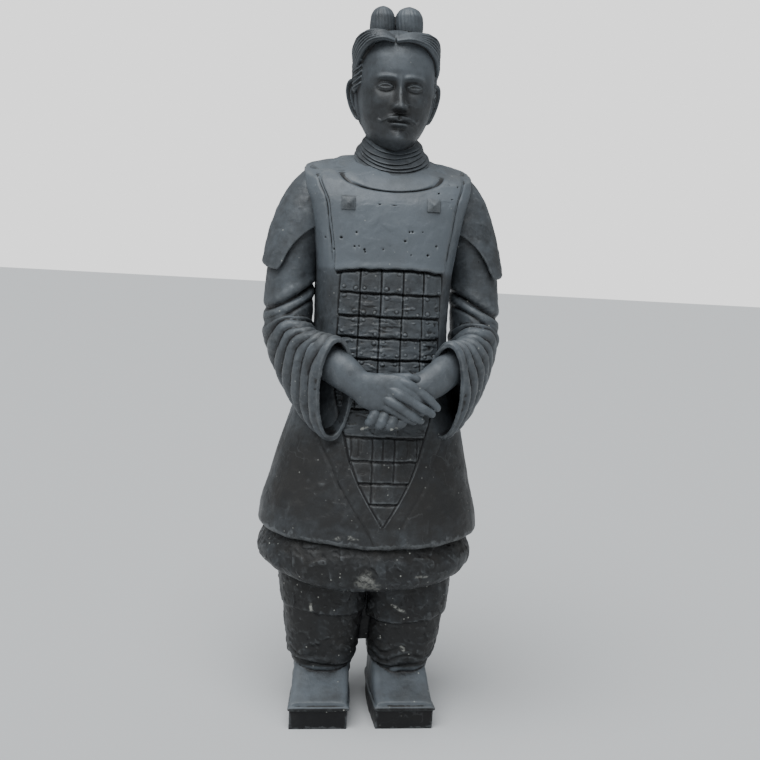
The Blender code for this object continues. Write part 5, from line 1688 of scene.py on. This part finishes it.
class WARRIOR_OT_head(bpy.types.Operator):
    """Models the head with its ears, hair and knot"""

    bl_idname = "warrior.head"
    bl_label = "Head"

    def execute(self, context):
        sizes = context.scene.warrior_sizes
        grain = sizes.fine_grain / MODULE
        parts = head(grain) + hair(grain, sizes.strand / MODULE)
        parts += [ear("right_ear", -1, grain), ear("left_ear", 1, grain)]
        body = pressed_together(parts, "head", sizes.fine_grain)
        pressed_by_hand(body, sizes.unevenness)
        finished(body, smoke_and_shade_on_head)
        return {"FINISHED"}


class WARRIOR_OT_neck_cloth(bpy.types.Operator):
    """Models the cloth wound round the neck"""

    bl_idname = "warrior.neck_cloth"
    bl_label = "Neck cloth"

    def execute(self, context):
        body = neck_cloth(context.scene.warrior_sizes)
        finished(body, smoke_and_shade_of(body.name))
        return {"FINISHED"}


FLOOR_HALF = 60.0
FLOOR_COLOUR = (0.55, 0.55, 0.55, 1.0)
FLOOR_ROUGHNESS = 0.9
SKY_PLACE = (-0.85, -1.5, 4.15)
SKY_TARGET = (0.0, 0.0, 0.9)
SKY_TINT = (0.93, 0.97, 1.0, 1.0)
BACKDROP_COLOUR = (1.0, 1.0, 1.0, 1.0)
SENSOR_WIDTH = 36.0
# How far the camera's aim lies beside the figure's own axis, in metres
AIM_SHIFT = (0.005, -0.028, 0.0)


def floor():
    """The plain pale floor under the figure."""
    mesh = bpy.data.meshes.new("floor")
    h = FLOOR_HALF
    mesh.from_pydata([(-h, -h, 0), (h, -h, 0), (h, h, 0), (-h, h, 0)], [], [(0, 1, 2, 3)])
    obj = bpy.data.objects.new("floor", mesh)
    bpy.context.scene.collection.objects.link(obj)
    material = bpy.data.materials.new("pale_floor")
    material.use_nodes = True
    shader = material.node_tree.nodes["Principled BSDF"]
    shader.inputs["Base Color"].default_value = FLOOR_COLOUR
    shader.inputs["Roughness"].default_value = FLOOR_ROUGHNESS
    mesh.materials.append(material)


def pointed(obj, place, target):
    """Puts a light or camera at place and turns it to look at target."""
    obj.location = place
    way = target - obj.location
    obj.rotation_euler = way.to_track_quat("-Z", "Y").to_euler()


def soft_sky(strength, softness, place, target):
    """One broad light from overhead, as even over the floor as an overcast sky."""
    data = bpy.data.lights.new("soft_sky", "SUN")
    data.energy, data.angle = strength, softness
    data.color = SKY_TINT[:3]
    obj = bpy.data.objects.new("soft_sky", data)
    bpy.context.scene.collection.objects.link(obj)
    pointed(obj, place, target)


def still_air(strength, backdrop):
    """An even light from all round, with a plain pale backdrop where the camera sees past the floor."""
    world = bpy.data.worlds.new("air")
    world.use_nodes = True
    tree = world.node_tree
    lit = tree.nodes["Background"]
    lit.inputs["Color"].default_value = SKY_TINT
    lit.inputs["Strength"].default_value = strength
    seen = wired(tree, "ShaderNodeBackground", {"Color": BACKDROP_COLOUR, "Strength": backdrop})
    ray = wired(tree, "ShaderNodeLightPath").outputs["Is Camera Ray"]
    both = wired(tree, "ShaderNodeMixShader", {0: ray, 1: lit.outputs[0], 2: seen.outputs[0]})
    tree.links.new(both.outputs[0], tree.nodes["World Output"].inputs["Surface"])
    bpy.context.scene.world = world


class WARRIOR_OT_stage(bpy.types.Operator):
    """Sets the floor, the studio light and the camera"""

    bl_idname = "warrior.stage"
    bl_label = "Stage"

    def execute(self, context):
        stage = context.scene.warrior_stage
        floor()
        axis = Vector(tuple(-BOX_CENTRE * MODULE)) + Vector(AIM_SHIFT)
        data = bpy.data.cameras.new("camera")
        data.sensor_width = SENSOR_WIDTH
        data.lens = data.sensor_width * stage.focal
        camera = bpy.data.objects.new("camera", data)
        context.scene.collection.objects.link(camera)
        away = Vector((-math.sin(stage.turn), -math.cos(stage.turn), 0.0))
        place = axis + away * stage.distance + Vector((0, 0, stage.height))
        drop = stage.distance * math.tan(stage.pitch)
        target = axis + Vector((0, 0, stage.height - drop))
        pointed(camera, place, target)
        camera.rotation_euler.rotate_axis("Z", stage.roll)
        context.scene.camera = camera
        soft_sky(stage.sky, stage.softness, Vector(SKY_PLACE), Vector(SKY_TARGET))
        still_air(stage.air, stage.backdrop)
        return {"FINISHED"}


STEPS = (
    WARRIOR_OT_coat,
    WARRIOR_OT_legs,
    WARRIOR_OT_sleeves,
    WARRIOR_OT_hands,
    WARRIOR_OT_neck_cloth,
    WARRIOR_OT_head,
    WARRIOR_OT_stage,
)


class WARRIOR_PT_panel(bpy.types.Panel):
    """Lists the warrior's steps and sizes in the sidebar"""

    bl_idname = "WARRIOR_PT_panel"
    bl_label = "Clay Warrior"
    bl_space_type = "VIEW_3D"
    bl_region_type = "UI"
    bl_category = "Warrior"

    def draw(self, context):
        for step in STEPS:
            self.layout.operator(step.bl_idname)
        for group in ("warrior_sizes", "warrior_finish", "warrior_stage"):
            box = self.layout.box()
            values = getattr(context.scene, group)
            for name in type(values).__annotations__:
                box.prop(values, name)


GROUPS_OF_VALUES = {
    "warrior_sizes": WarriorSizes,
    "warrior_finish": WarriorFinish,
    "warrior_stage": WarriorStage,
}


def register():
    """Adds the sizes, the steps and the panel to Blender."""
    for kind in (*GROUPS_OF_VALUES.values(), *STEPS, WARRIOR_PT_panel):
        bpy.utils.register_class(kind)
    for name, kind in GROUPS_OF_VALUES.items():
        setattr(bpy.types.Scene, name, bpy.props.PointerProperty(type=kind))


def unregister():
    """Takes them away again."""
    for name in GROUPS_OF_VALUES:
        delattr(bpy.types.Scene, name)
    for kind in (WARRIOR_PT_panel, *reversed(STEPS), *reversed(GROUPS_OF_VALUES.values())):
        bpy.utils.unregister_class(kind)


def main():
    """Builds the figure and its studio."""
    register()
    for step in STEPS:
        area, name = step.bl_idname.split(".")
        getattr(getattr(bpy.ops, area), name)()


if __name__ == "__main__":
    main()
